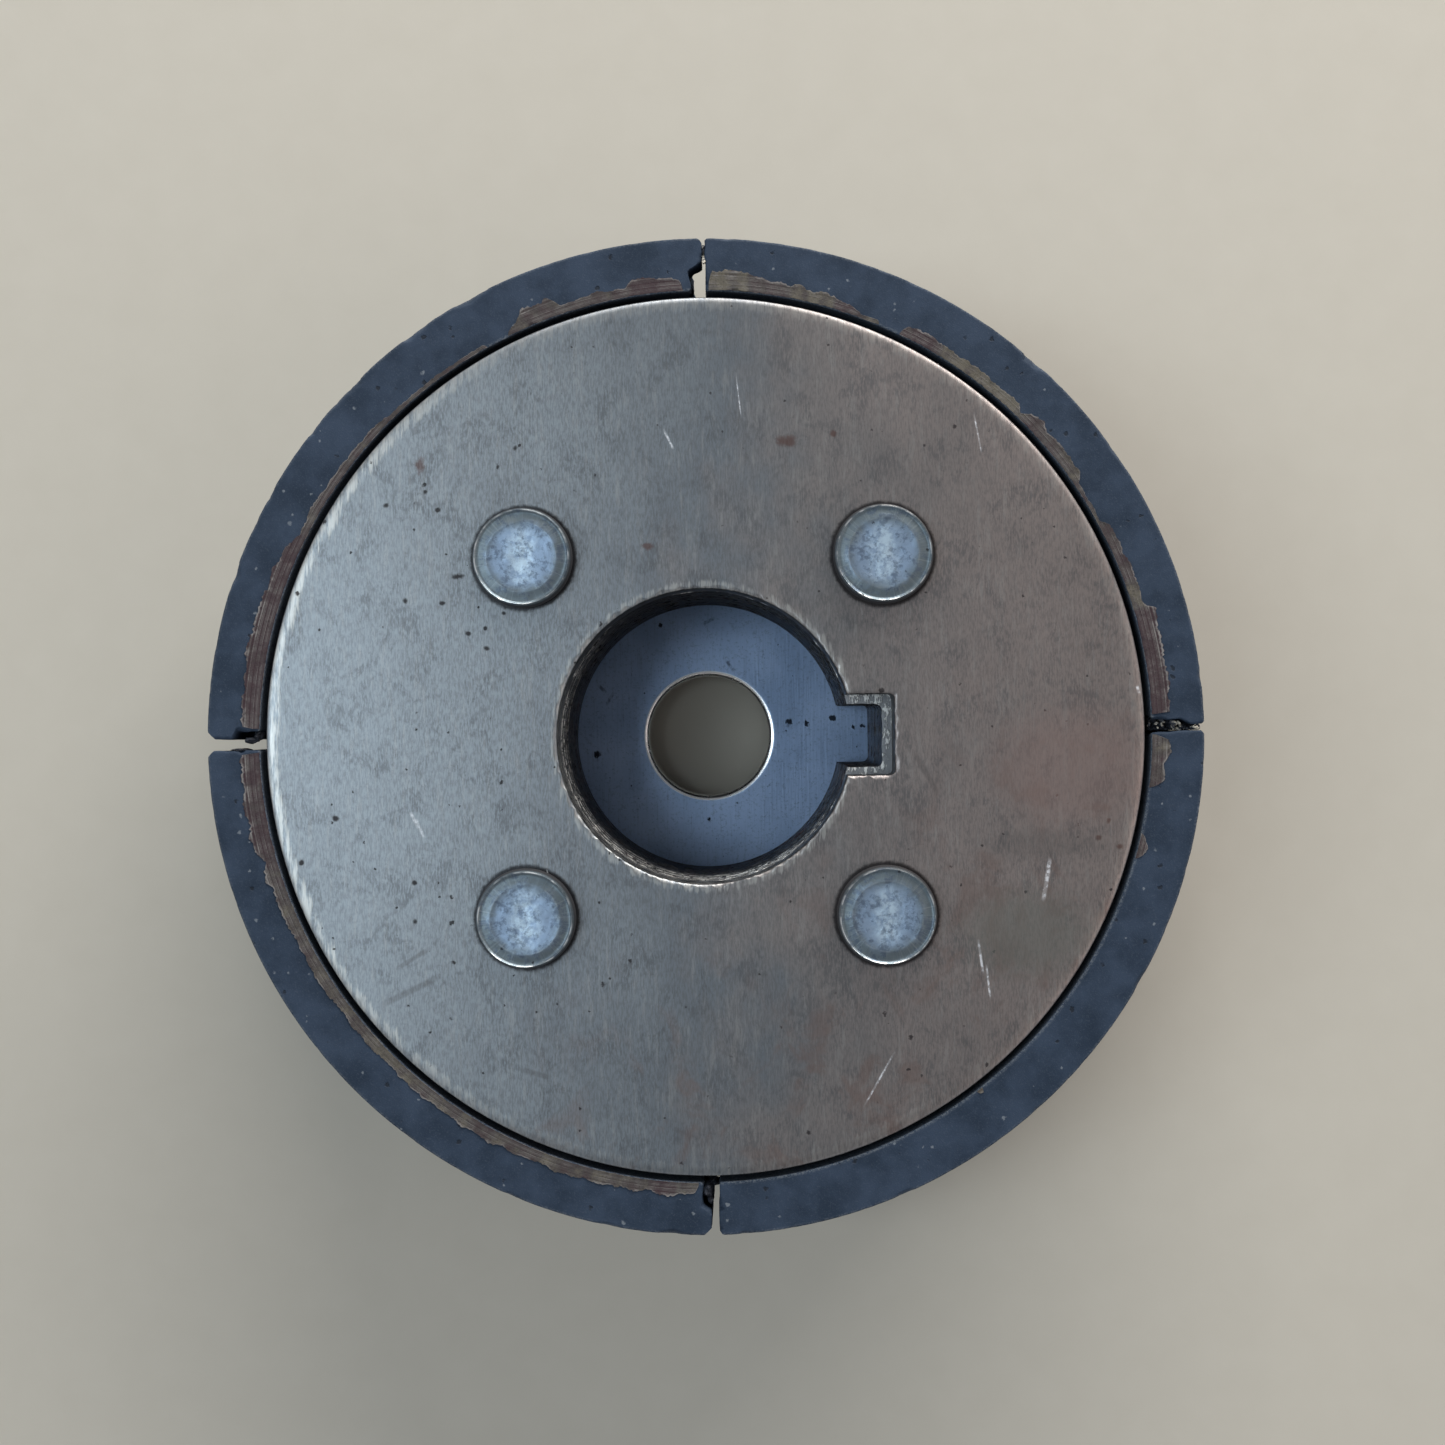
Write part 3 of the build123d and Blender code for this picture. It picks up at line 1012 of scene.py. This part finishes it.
def broken_back(out, up, back, step, slope, deeper, seed):
    """How far an end has broken back, inside a step. The step moves out with depth if it goes deeper."""
    ripple = unevenness(out / 0.9, up / 2.5, seed * 3.3)
    step = step + deeper * np.clip(up - 2.5, 0, 4)
    inside = np.clip((step + slope / 2 - out + ripple * 0.35) / slope, 0, 1)
    return back * inside**2 * (3 - 2 * inside) * (1 + ripple * 0.3) + 0.06 * (ripple + 0.5)


# for the inner and the outer edges: how deep they are broken, how deep the nicks go, how rare they are
edge_wear = ((0.05, 0.35, 0.25), (0.07, 0.7, 0.16))


def magnet_arc(number, ends_broken):
    """One magnet between two gaps. Each end is given as how far its inner part has broken back, how far
    out that reaches and over what width, how fast it widens with depth, and how much of its outer corner
    is gone."""
    start, stop = gap_angles[number], gap_angles[number + 1]
    start_half, stop_half = gap_widths[number] / 2, gap_widths[number + 1] / 2
    middle = (magnet_inner + magnet_outer) / 2
    length = math.radians(stop - start) * middle - start_half - stop_half
    height = magnet_top - magnet_bottom
    spans = (
        graded(length, 0.10, 0.28, 2.4),
        graded(magnet_thickness, 0.07, 0.16, 0.8),
        graded(height, 0.08, 1.2),
    )
    points, faces = block_shell(spans)
    along, out, up = points.T
    place = along + number * 71.0
    ends = [along, length - along]
    sides = [out, magnet_thickness - out]
    levels = [up, height - up]
    seed = number * 12
    for side, (base, nick, often) in enumerate(edge_wear):
        for level in (0, 1):
            seed += 1
            depth = chips(place, seed, base, nick, often)
            sides[side], levels[level] = nicked(sides[side], levels[level], depth)
            sides[1 - side] = magnet_thickness - sides[side]
            levels[1 - level] = height - levels[level]
    for end, (back, step, slope, deeper, corner) in enumerate(ends_broken):
        for side in (0, 1):
            seed += 1
            depth = (0.06, corner)[side] + chips(levels[0] * 1.7, seed, 0.08, 0.4, 0.2)
            ends[end], sides[side] = nicked(ends[end], sides[side], depth)
            sides[1 - side] = magnet_thickness - sides[side]
        for level in (0, 1):
            seed += 1
            depth = chips(sides[0] * 2.3, seed, 0.09, 0.5, 0.15)
            ends[end], levels[level] = nicked(ends[end], levels[level], depth)
            levels[1 - level] = height - levels[level]
        depth = broken_back(sides[0], levels[1], back, step, slope, deeper, seed)
        ends[end] = ends[end] + depth * np.clip(1 - ends[end] / 3.5, 0, 1)
        ends[1 - end] = length - ends[end]
    radius = magnet_inner + sides[0]
    first = math.radians(start) + np.arcsin(start_half / radius)
    last = math.radians(stop) - np.arcsin(stop_half / radius)
    angle = first + (last - first) * ends[0] / length
    made = np.c_[radius * np.cos(angle), radius * np.sin(angle), magnet_bottom + levels[0]]
    return tidy_faces(mesh_piece(f"ferrite_arc_{number + 1}", made, faces), 40.0)


def ferrite(nodes, place):
    """Ground ferrite: a dark blue-grey ceramic with pale dust and pits, lighter at its worn edges."""
    radius = nodes.from_axis(place)
    mottle = nodes.noise(place, 3.5, 4, 0.6)
    grit = nodes.noise(place, 0.12, 3, 0.7)
    colour = nodes.mix(mottle.between(0.3, 0.7), (0.014, 0.027, 0.050), (0.033, 0.053, 0.090))
    colour = nodes.mix(grit.between(0.5, 0.75) * 0.4, colour, (0.085, 0.105, 0.14))
    dust = nodes.spots(place, 1.3, 0.2, 0.22).at_least(nodes.spots(place, 0.7, 0.13, 0.12))
    colour = nodes.mix(dust * 0.5, colour, (0.28, 0.31, 0.34))
    pits = nodes.spots(place, 1.1, 0.22, 0.25)
    colour = nodes.mix(pits * 0.7, colour, (0.006, 0.008, 0.012))
    outer_edge = radius.between(magnet_outer - 0.25, magnet_outer - 0.05)
    inner_edge = radius.between(magnet_inner + 0.30, magnet_inner + 0.06)
    worn = (outer_edge * 0.35 + inner_edge * 0.5) * grit.between(0.4, 0.6)
    colour = nodes.mix(worn, colour, (0.19, 0.21, 0.23))
    return {
        "Base Color": colour,
        "Metallic": 0.0,
        "Specular IOR Level": 0.3,
        "Roughness": 0.66 + grit * 0.2 - mottle * 0.1,
        "Normal": nodes.bumps(grit + mottle - pits * 2, 0.02),
    }


ferrite_finish = finish("ground_ferrite", ferrite)
# the two ends of each magnet, as magnet_arc takes them
magnet_ends = (
    ((0.65, 2.0, 4.0, 0.0, 0.10), (0.05, 2.0, 3.0, 1.0, 0.08)),
    ((0.95, 1.9, 0.8, 1.0, 0.12), (0.60, 2.0, 0.5, 0.0, 0.50)),
    ((0.0, 2.0, 1.0, 0.0, 0.35), (0.65, 2.0, 0.5, 0.0, 0.45)),
    ((0.06, 2.0, 2.0, 0.0, 0.15), (0.10, 2.0, 3.0, 0.0, 0.12)),
)
for number, ends_broken in enumerate(magnet_ends):
    magnet = magnet_arc(number, ends_broken)
    fit_out(magnet, ferrite_finish, "ferrite", f"magnet_{number + 1}")

# ---------------------------------------------------------------------------------------------------
# Adhesive behind the magnets. A dark red-brown structural adhesive holds each magnet to the core. It
# was spread on before the magnets were pressed home, and it lies deep in the joint, nearly black.
# ---------------------------------------------------------------------------------------------------
bond_low, bond_high = millimetres("bond_1")
bond_setback = 1.0  # from a magnet's end to the end of the adhesive behind it


def glue(nodes, place):
    """Cured adhesive: nearly black, with brown and red lumps."""
    tone = nodes.noise(place, 1.6, 4, 0.65)
    tones = [(0.32, (0.008, 0.006, 0.008)), (0.5, (0.03, 0.012, 0.014)), (0.68, (0.06, 0.035, 0.028))]
    return {
        "Base Color": nodes.add("ShaderNodeValToRGB", {"stops": tones}, (tone,)),
        "Metallic": 0.0,
        "Roughness": 0.5 + tone * 0.3,
        "Normal": nodes.bumps(tone, 0.05),
    }


def bond_strip(number):
    """The adhesive behind one magnet, with an uneven top."""
    inset = [(bond_setback + gap_widths[number + step] / 2) / magnet_inner for step in (0, 1)]
    start = math.radians(gap_angles[number]) + inset[0]
    stop = math.radians(gap_angles[number + 1]) - inset[1]
    angles = np.linspace(start, stop, 180)
    points, faces = block_shell((angles, np.linspace(core_radius, magnet_inner, 4), np.linspace(0, 1, 8)))
    angle, radius, share = points.T
    sag = unevenness(angle * 14, radius, number * 3.0)
    hollow = 0.25 * np.sin((radius - core_radius) / (magnet_inner - core_radius) * math.pi)
    height = bond_high[2] - bond_low[2] + np.minimum(sag * 0.9 - 0.35, 0) - hollow
    made = np.c_[radius * np.cos(angle), radius * np.sin(angle), bond_low[2] + share * height]
    return tidy_faces(mesh_piece(f"bond_strip_{number + 1}", made, faces), 40.0)


glue_finish = finish("cured_adhesive", glue)
for number in range(4):
    fit_out(bond_strip(number), glue_finish, "adhesive", f"bond_{number + 1}")

# ---------------------------------------------------------------------------------------------------
# Adhesive on the magnets' tops. What was squeezed out over the inner edge has dried in thin ragged
# strips, dark red where it is thick and khaki where it has picked up dust, with a pale outer line.
# ---------------------------------------------------------------------------------------------------
dried_inner = magnet_inner + 0.06
dried_step = 0.22  # degrees from one section of a strip to the next
dried_thinnest = 0.14  # a strip narrower than this has flaked off
# for each magnet: angle in degrees, width of the strip there, and how red it is
dried_runs = (
    (
        (2.0, 0.0, 0.9), (2.4, 1.4, 0.9), (15.4, 1.6, 0.9), (16.0, 1.0, 0.2), (19.4, 0.9, 0.2),
        (20.0, 0.9, 0.7), (27.0, 0.8, 0.4), (28.0, 0.25, 0.4), (33.5, 0.3, 0.4), (34.5, 0.9, 0.3),
        (44.0, 1.0, 0.6), (45.0, 0.35, 0.3), (46.0, 0.9, 0.0), (57.5, 0.8, 0.0), (58.3, 1.0, 0.8),
        (63.0, 0.9, 0.8), (63.8, 0.0, 0.5), (66.0, 0.0, 0.5), (66.8, 0.3, 0.2), (69.0, 0.3, 0.3),
        (70.5, 0.7, 0.8), (72.4, 0.7, 0.8), (73.0, 0.9, 0.1), (78.5, 1.0, 0.2), (79.5, 1.1, 0.6),
        (83.5, 1.2, 0.5), (84.5, 1.5, 0.1), (88.6, 1.5, 0.1), (89.1, 0.0, 0.1),
    ),
    (
        (92.0, 0.0, 0.9), (92.6, 1.0, 0.9), (98.5, 1.3, 0.9), (99.5, 0.8, 0.5), (108.0, 0.7, 0.4),
        (109.5, 1.5, 0.5), (112.5, 1.4, 0.5), (114.0, 0.7, 0.4), (116.0, 0.0, 0.3), (118.0, 0.0, 0.3),
        (119.0, 0.3, 0.4), (134.0, 0.3, 0.5), (137.0, 0.6, 0.5), (152.0, 0.7, 0.5), (153.0, 0.5, 0.6),
        (155.0, 1.2, 1.0), (165.0, 1.5, 0.9), (178.2, 1.3, 0.9), (178.6, 0.0, 0.9),
    ),
    (
        (181.3, 0.0, 0.7), (181.7, 1.5, 0.8), (194.0, 1.6, 0.7), (195.5, 0.8, 0.6), (197.8, 1.5, 0.5),
        (199.0, 0.9, 0.4), (225.0, 0.8, 0.2), (240.0, 0.95, 0.4), (262.0, 0.9, 0.3), (263.2, 1.0, 0.9),
        (265.5, 1.0, 0.9), (266.0, 0.9, 0.3), (268.2, 0.8, 0.4), (268.8, 0.0, 0.4),
    ),
    (
        (306.4, 0.0, 0.3), (307.4, 0.4, 0.2), (308.2, 0.0, 0.3), (343.2, 0.0, 0.5), (345.2, 0.8, 0.5),
        (347.5, 0.0, 0.5), (352.6, 0.0, 0.4), (354.0, 1.1, 0.4), (359.0, 1.3, 0.4), (359.8, 0.0, 0.4),
    ),
)


def dried_strip(number, runs):
    """The dried adhesive on one magnet: closed flakes, broken wherever the run thins to nothing."""
    stops, widths, reds = zip(*runs)
    angles = np.arange(stops[0], stops[-1], dried_step)
    edge = lumps(angles, 1.6, number + 2) * 0.7 + lumps(angles, 0.35, number + 7) * 0.4
    width = np.interp(angles, stops, widths) * np.clip(1 + 0.3 * edge, 0.5, 1.3) + 0.08 * edge
    red = np.interp(angles, stops, reds) + lumps(angles, 1.7, number + 11) * 0.35
    inner = dried_inner + 0.05 * lumps(angles, 0.6, number + 15)
    across = np.array([0.0, 0.03, 0.2, 0.4, 0.6, 0.78, 0.9, 0.97, 1.0])
    present = np.r_[width >= dried_thinnest, True]
    points, faces, redness, reach = [], [], [], []
    last_section = None
    for k, angle in enumerate(np.radians(angles)):
        if not present[k]:
            last_section = None
            continue
        tapered = last_section is None or not present[k + 1]
        thin = width[k] * (0.25 if tapered else 1)
        section = len(points)
        for share in across:
            lump = noise.noise(Vector((angle * 60, share * width[k] * 2.2, number * 4.0)))
            ridge = math.exp(-(((share - 0.93) / 0.06) ** 2))
            rise = (0.045 + 0.04 * lump + 0.03 * ridge) * min(1, thin * 4)
            radius = inner[k] + share * thin
            level = magnet_top - 0.05 if share in (0.0, 1.0) else magnet_top + max(rise, 0.012)
            points.append((radius * math.cos(angle), radius * math.sin(angle), level))
            redness.append(red[k])
            reach.append(share)
        count = len(across)
        if last_section is None:
            faces.append(tuple(section + i for i in range(count)))
        else:
            for i in range(count):
                j = (i + 1) % count
                faces.append((last_section + i, section + i, section + j, last_section + j))
        if k + 1 == len(width) or not present[k + 1]:
            faces.append(tuple(section + i for i in reversed(range(count))))
        last_section = section
    piece = mesh_piece(f"dried_adhesive_{number + 1}", points, faces, redness)
    share_mark = piece.data.attributes.new("across", "FLOAT", "POINT")
    share_mark.data.foreach_set("value", np.array(reach, np.float32))
    return tidy_faces(piece, 60.0)


def dried_glue(nodes, place):
    """Khaki to dark red, streaked along the magnet, with a pale line where the strip ends."""
    radius = nodes.from_axis(place)
    red = nodes.mark("worn")
    across = nodes.mark("across")
    blotch = nodes.noise(place, 0.9, 4, 0.7)
    tone = red + blotch * 1.4 - 0.7
    tones = [(0.0, (0.11, 0.095, 0.07)), (0.35, (0.05, 0.04, 0.037)), (0.8, (0.034, 0.014, 0.019))]
    colour = nodes.add("ShaderNodeValToRGB", {"stops": tones}, (tone,))
    lines = nodes.noise(nodes.add("ShaderNodeCombineXYZ", {}, {"X": radius}), 0.16, 2, 0.7)
    patchy = nodes.noise(place, 1.3, 3, 0.6).between(0.42, 0.6)
    colour = nodes.mix(lines.between(0.46, 0.58) * (patchy * 0.6 + 0.25), colour, (0.22, 0.205, 0.195))
    border = across.between(0.82, 0.92) * across.between(0.99, 0.94) * patchy
    colour = nodes.mix(border * 0.4, colour, (0.33, 0.31, 0.30))
    grit = nodes.noise(place, 0.14, 2, 0.7)
    colour = nodes.mix(grit.between(0.56, 0.7) * 0.5, colour, (0.015, 0.012, 0.012))
    return {
        "Base Color": colour,
        "Metallic": 0.0,
        "Roughness": 0.55 + grit * 0.3,
        "Normal": nodes.bumps(blotch + grit * 0.5 + lines * 0.4, 0.05),
    }


dried_finish = finish("dried_adhesive", dried_glue)
for number, runs in enumerate(dried_runs):
    fit_out(dried_strip(number, runs), dried_finish, "adhesive")

# ---------------------------------------------------------------------------------------------------
# Adhesive between the magnets' ends. The wedge beside the keyway is full of it, lumpy and stuck with
# grit and ferrite chips. The gaps to the left and below have only a few drops, and the top one chips.
# ---------------------------------------------------------------------------------------------------
fill_low, fill_high = millimetres("gap_fill")


wedge_length = 3.75
wedge_flare = 0.62  # how much wider it is at its inner end
wedge_play = 0.02  # left free at each side


def wedge_point(share_out, share_across, level):
    """A point in the wedge: how far out it lies, and how far over from magnet_4's end to magnet_1's."""
    out = magnet_inner - 0.05 + share_out * wedge_length
    width = gap_widths[0] - 2 * wedge_play + wedge_flare * (1 - share_out)
    side = -gap_widths[0] / 2 + wedge_play + share_across * width
    turned = math.radians(gap_angles[0])
    x = out * math.cos(turned) - side * math.sin(turned)
    y = out * math.sin(turned) + side * math.cos(turned)
    return (x, y, level)


def wedge():
    """The adhesive beside the keyway, with a pitted and lumpy top."""
    spans = (np.linspace(0, 1, 46), np.linspace(0, 1, 14), np.r_[np.linspace(0, 0.95, 8), 0.975, 1.0])
    points, faces = block_shell(spans)
    made = []
    for out, across, share in points:
        large = noise.noise(Vector((out * 9, across * 3, 2.0)))
        small = noise.noise(Vector((out * 24, across * 8, 5.0)))
        top = fill_high[2] - 0.15 + 0.45 * (large + 0.6 * small)
        made.append(wedge_point(out, across, fill_low[2] + share * (top - fill_low[2])))
    return tidy_faces(mesh_piece("gap_adhesive", made, faces), 40.0)


def unit_ball(subdivisions):
    """The points and faces of a ball with a radius of 1."""
    work = bmesh.new()
    bmesh.ops.create_icosphere(work, subdivisions=subdivisions, radius=1.0)
    points = [vert.co.copy() for vert in work.verts]
    faces = [[vert.index for vert in face.verts] for face in work.faces]
    work.free()
    return points, faces


def drop(centre, size, turned, seed):
    """A closed lumpy drop of adhesive, with its size along the gap, across it and up, at an angle."""
    ball, faces = unit_ball(4)
    corners = []
    for point in ball:
        large = noise.noise(point * 1.7 + Vector((seed * 3.1, 0, 0)))
        small = noise.noise(point * 6)
        lump = 1 + 0.35 * large + 0.12 * small
        corners.append([point[axis] * size[axis] * lump for axis in range(3)])
    along, across, up = np.array(corners).T
    angle = math.radians(turned)
    radius = centre[0] + along
    x = radius * math.cos(angle) - (centre[1] + across) * math.sin(angle)
    y = radius * math.sin(angle) + (centre[1] + across) * math.cos(angle)
    return np.c_[x, y, centre[2] + up], faces


def drops_piece(name, drops):
    """Several drops as one piece."""
    points, faces = [], []
    for seed, (centre, size, turned) in enumerate(drops):
        corners, sides = drop(centre, size, turned, seed)
        faces.extend([[corner + len(points) for corner in side] for side in sides])
        points.extend(corners)
    return tidy_faces(mesh_piece(name, points, faces), 60.0)


def chip_tree(chip, material):
    """Sets a broken chip at each point, with its own turn and size."""
    nodes, given = new_tree(
        "scattered_chips", Smallest=("Float", 0.4), Largest=("Float", 1.0), Seed=("Int", 0)
    )
    shape = nodes.add("GeometryNodeObjectInfo", {}, {"Object": chip}).other("Geometry")
    turn = nodes.add(
        "FunctionNodeRandomValue",
        {"data_type": "FLOAT_VECTOR"},
        {"Min": (0.0, 0.0, 0.0), "Max": (math.tau, math.tau, math.tau), "Seed": given.other("Seed")},
    )
    size = nodes.add(
        "FunctionNodeRandomValue",
        {"data_type": "FLOAT"},
        {"Min": given.other("Smallest"), "Max": given.other("Largest"), "Seed": given.other("Seed") + 1},
    )
    scale = nodes.add("ShaderNodeCombineXYZ", {}, {"X": size, "Y": size, "Z": size})
    placed = {"Points": given, "Instance": shape, "Rotation": turn, "Scale": scale}
    scattered = nodes.add("GeometryNodeInstanceOnPoints", {}, placed)
    real = nodes.add("GeometryNodeRealizeInstances", {}, (scattered,))
    done = nodes.add("GeometryNodeSetMaterial", {}, {"Geometry": real, "Material": material})
    nodes.add("NodeGroupOutput", {}, (done,))
    return nodes


def chip_shape():
    """A flat broken chip about a quarter of a millimetre long."""
    ball, faces = unit_ball(1)
    corners = []
    for point in ball:
        lump = 1 + 0.5 * noise.noise(point * 2.3 + Vector((4.0, 1.0, 0)))
        corners.append((point.x * 0.13 * lump, point.y * 0.09 * lump, point.z * 0.05))
    return mesh_piece("chip_shape", corners, faces)


def pale_chip(nodes, place):
    """Grit and chips, some pale as straw and some black as the ferrite."""
    tone = nodes.noise(place, 0.5, 3, 0.6)
    return {
        "Base Color": nodes.mix(tone.between(0.46, 0.58), (0.05, 0.055, 0.07), (0.58, 0.53, 0.44)),
        "Roughness": 0.8 - tone * 0.2,
        "Normal": nodes.bumps(tone, 0.03),
    }


def black_glue(nodes, place):
    """Lumpy black adhesive with fine pale grit stuck in it."""
    tone = nodes.noise(place, 0.4, 4, 0.7)
    specks = nodes.spots(place, 0.35, 0.07, 0.25)
    colour = nodes.mix(tone.between(0.35, 0.7), (0.006, 0.008, 0.014), (0.03, 0.035, 0.05))
    return {
        "Base Color": nodes.mix(specks * 0.6, colour, (0.30, 0.27, 0.23)),
        "Metallic": 0.0,
        "Roughness": 0.5 + tone * 0.35,
        "Normal": nodes.bumps(tone + specks, 0.06),
    }


black_finish = finish("black_adhesive", black_glue)
fit_out(wedge(), black_finish, "adhesive", "gap_fill")
left_side = -gap_widths[2] / 2
# each is its place (out from the axis, across the gap, level), its size, and the angle of its gap
gap_drops = (
    ((34.3, left_side + 0.05, 23.6), (0.55, 0.24, 0.45), gap_angles[2]),
    ((33.75, left_side - 0.3, 23.2), (0.35, 0.35, 0.8), gap_angles[2]),
    ((35.1, -left_side - 0.02, 23.5), (0.8, 0.13, 0.6), gap_angles[2]),
    ((34.2, -0.55, 23.3), (0.6, 0.45, 0.8), gap_angles[3]),
    ((34.9, -0.35, 22.9), (0.5, 0.25, 0.9), gap_angles[3]),
    ((33.8, -0.1, 22.4), (0.3, 0.5, 1.1), gap_angles[3]),
)
fit_out(drops_piece("adhesive_drops", gap_drops), black_finish, "adhesive")

chip_dice = random.Random(31)
chips_in_wedge = 22
chips_in_top_gap = 10
chip_places = []
for number in range(chips_in_wedge):
    share_out = chip_dice.uniform(0.0, 1.0) ** 1.2
    level = fill_high[2] + 0.05 + chip_dice.uniform(-0.12, 0.2)
    chip_places.append(wedge_point(share_out, chip_dice.uniform(0.1, 0.9), level))
for number in range(chips_in_top_gap):
    angle = math.radians(gap_angles[1] + chip_dice.uniform(-0.12, 0.12))
    radius = chip_dice.uniform(35.6, 37.1)
    level = magnet_top - chip_dice.uniform(0.05, 0.6)
    chip_places.append((radius * math.cos(angle), radius * math.sin(angle), level))
for out, side, drop_down in ((36.9, 0.3, 0.15), (37.0, 0.22, 0.2), (36.7, 0.32, 0.1)):
    chip_places.append((out, side, magnet_top - drop_down))
chip = chip_shape()
chip_finish = finish("pale_chip", pale_chip)
chip_points = mesh_piece("chip_points", chip_places, [])
grit = grow("gap_grit", chip_points, chip_tree(chip, chip_finish), Smallest=0.8, Largest=3.0, Seed=6)
fit_out(tidy_faces(grit, 30.0), chip_finish, "adhesive")
bpy.data.objects.remove(chip)
bpy.data.objects.remove(chip_points)

# ---------------------------------------------------------------------------------------------------
# Stage: a plain pale floor, soft cool light from the left, a larger light from behind, a weak warm
# fill, and the camera that looks almost straight down the bore from arm's length.
# ---------------------------------------------------------------------------------------------------
floor_half = 2.0  # in metres
floor = mesh_piece(
    "floor",
    np.array([(-1, -1, 0), (1, -1, 0), (1, 1, 0), (-1, 1, 0)]) * floor_half / METRES,
    [(0, 1, 2, 3)],
)


def floor_paper(nodes, place):
    """Plain pale paper with a slightly uneven tone."""
    tone = nodes.noise(place, 4, 4, 0.6)
    return {"Base Color": nodes.mix(tone, (0.57, 0.53, 0.455), (0.61, 0.57, 0.495)), "Roughness": 0.9}


floor.data.materials.append(finish("floor_paper", floor_paper))


def soft_light(name, place, width, height, brightness, colour):
    """A rectangular soft light at a place in millimetres, facing the middle of the core's top face."""
    lamp = bpy.data.lights.new(name, "AREA")
    lamp.shape = "RECTANGLE"
    lamp.size = width * METRES
    lamp.size_y = height * METRES
    lamp.energy = brightness * math.pi * lamp.size * lamp.size_y
    lamp.color = colour
    holder = bpy.data.objects.new(name, lamp)
    backward = Vector(place) - Vector((0, 0, face_level))
    facing = backward.to_track_quat("Z", "Y")
    holder.matrix_world = Matrix.LocRotScale(Vector(place) * METRES, facing, None)
    bpy.context.scene.collection.objects.link(holder)


soft_light("window", (-355, 10, 610), 190, 420, 5.0, (0.78, 0.91, 1.0))
soft_light("ceiling", (140, 500, 230), 560, 240, 9.0, (1.0, 0.97, 0.93))
soft_light("fill", (480, -120, 480), 420, 420, 0.7, (1.0, 0.84, 0.76))
world = bpy.data.worlds.new("room")
world.use_nodes = True
room = Nodes(world.node_tree)
skyward = room.axes(room.add("ShaderNodeTexCoord"))[2]
background = world.node_tree.nodes["Background"]
room.feed(background.inputs["Color"], (0.90, 0.95, 1.0))
room.feed(background.inputs["Strength"], 0.12 + (1 - skyward) * 0.55)
bpy.context.scene.world = world
bpy.context.scene.view_settings.view_transform = "Standard"

camera_height = 148.0  # above the core's top face
camera_foot = (2.85, 0.375)  # straight below the camera, from the bore's axis
look_at = (1.35, 1.015)
view_width = 108.4  # seen across, at the core's top face
camera_turn = math.radians(-0.6)  # of the picture's upright, from the Y axis
camera_data = bpy.data.cameras.new("camera")
camera_data.sensor_width = 36.0
camera_data.lens = camera_data.sensor_width * camera_height / view_width
camera = bpy.data.objects.new("camera", camera_data)
eye = Vector((*camera_foot, face_level + camera_height))
backward = (eye - Vector((*look_at, face_level))).normalized()
rightward = Vector((-math.sin(camera_turn), math.cos(camera_turn), 0)).cross(backward).normalized()
camera.matrix_world = Matrix.LocRotScale(
    eye * METRES, Matrix((rightward, backward.cross(rightward), backward)).transposed(), None
)
bpy.context.scene.collection.objects.link(camera)
bpy.context.scene.camera = camera
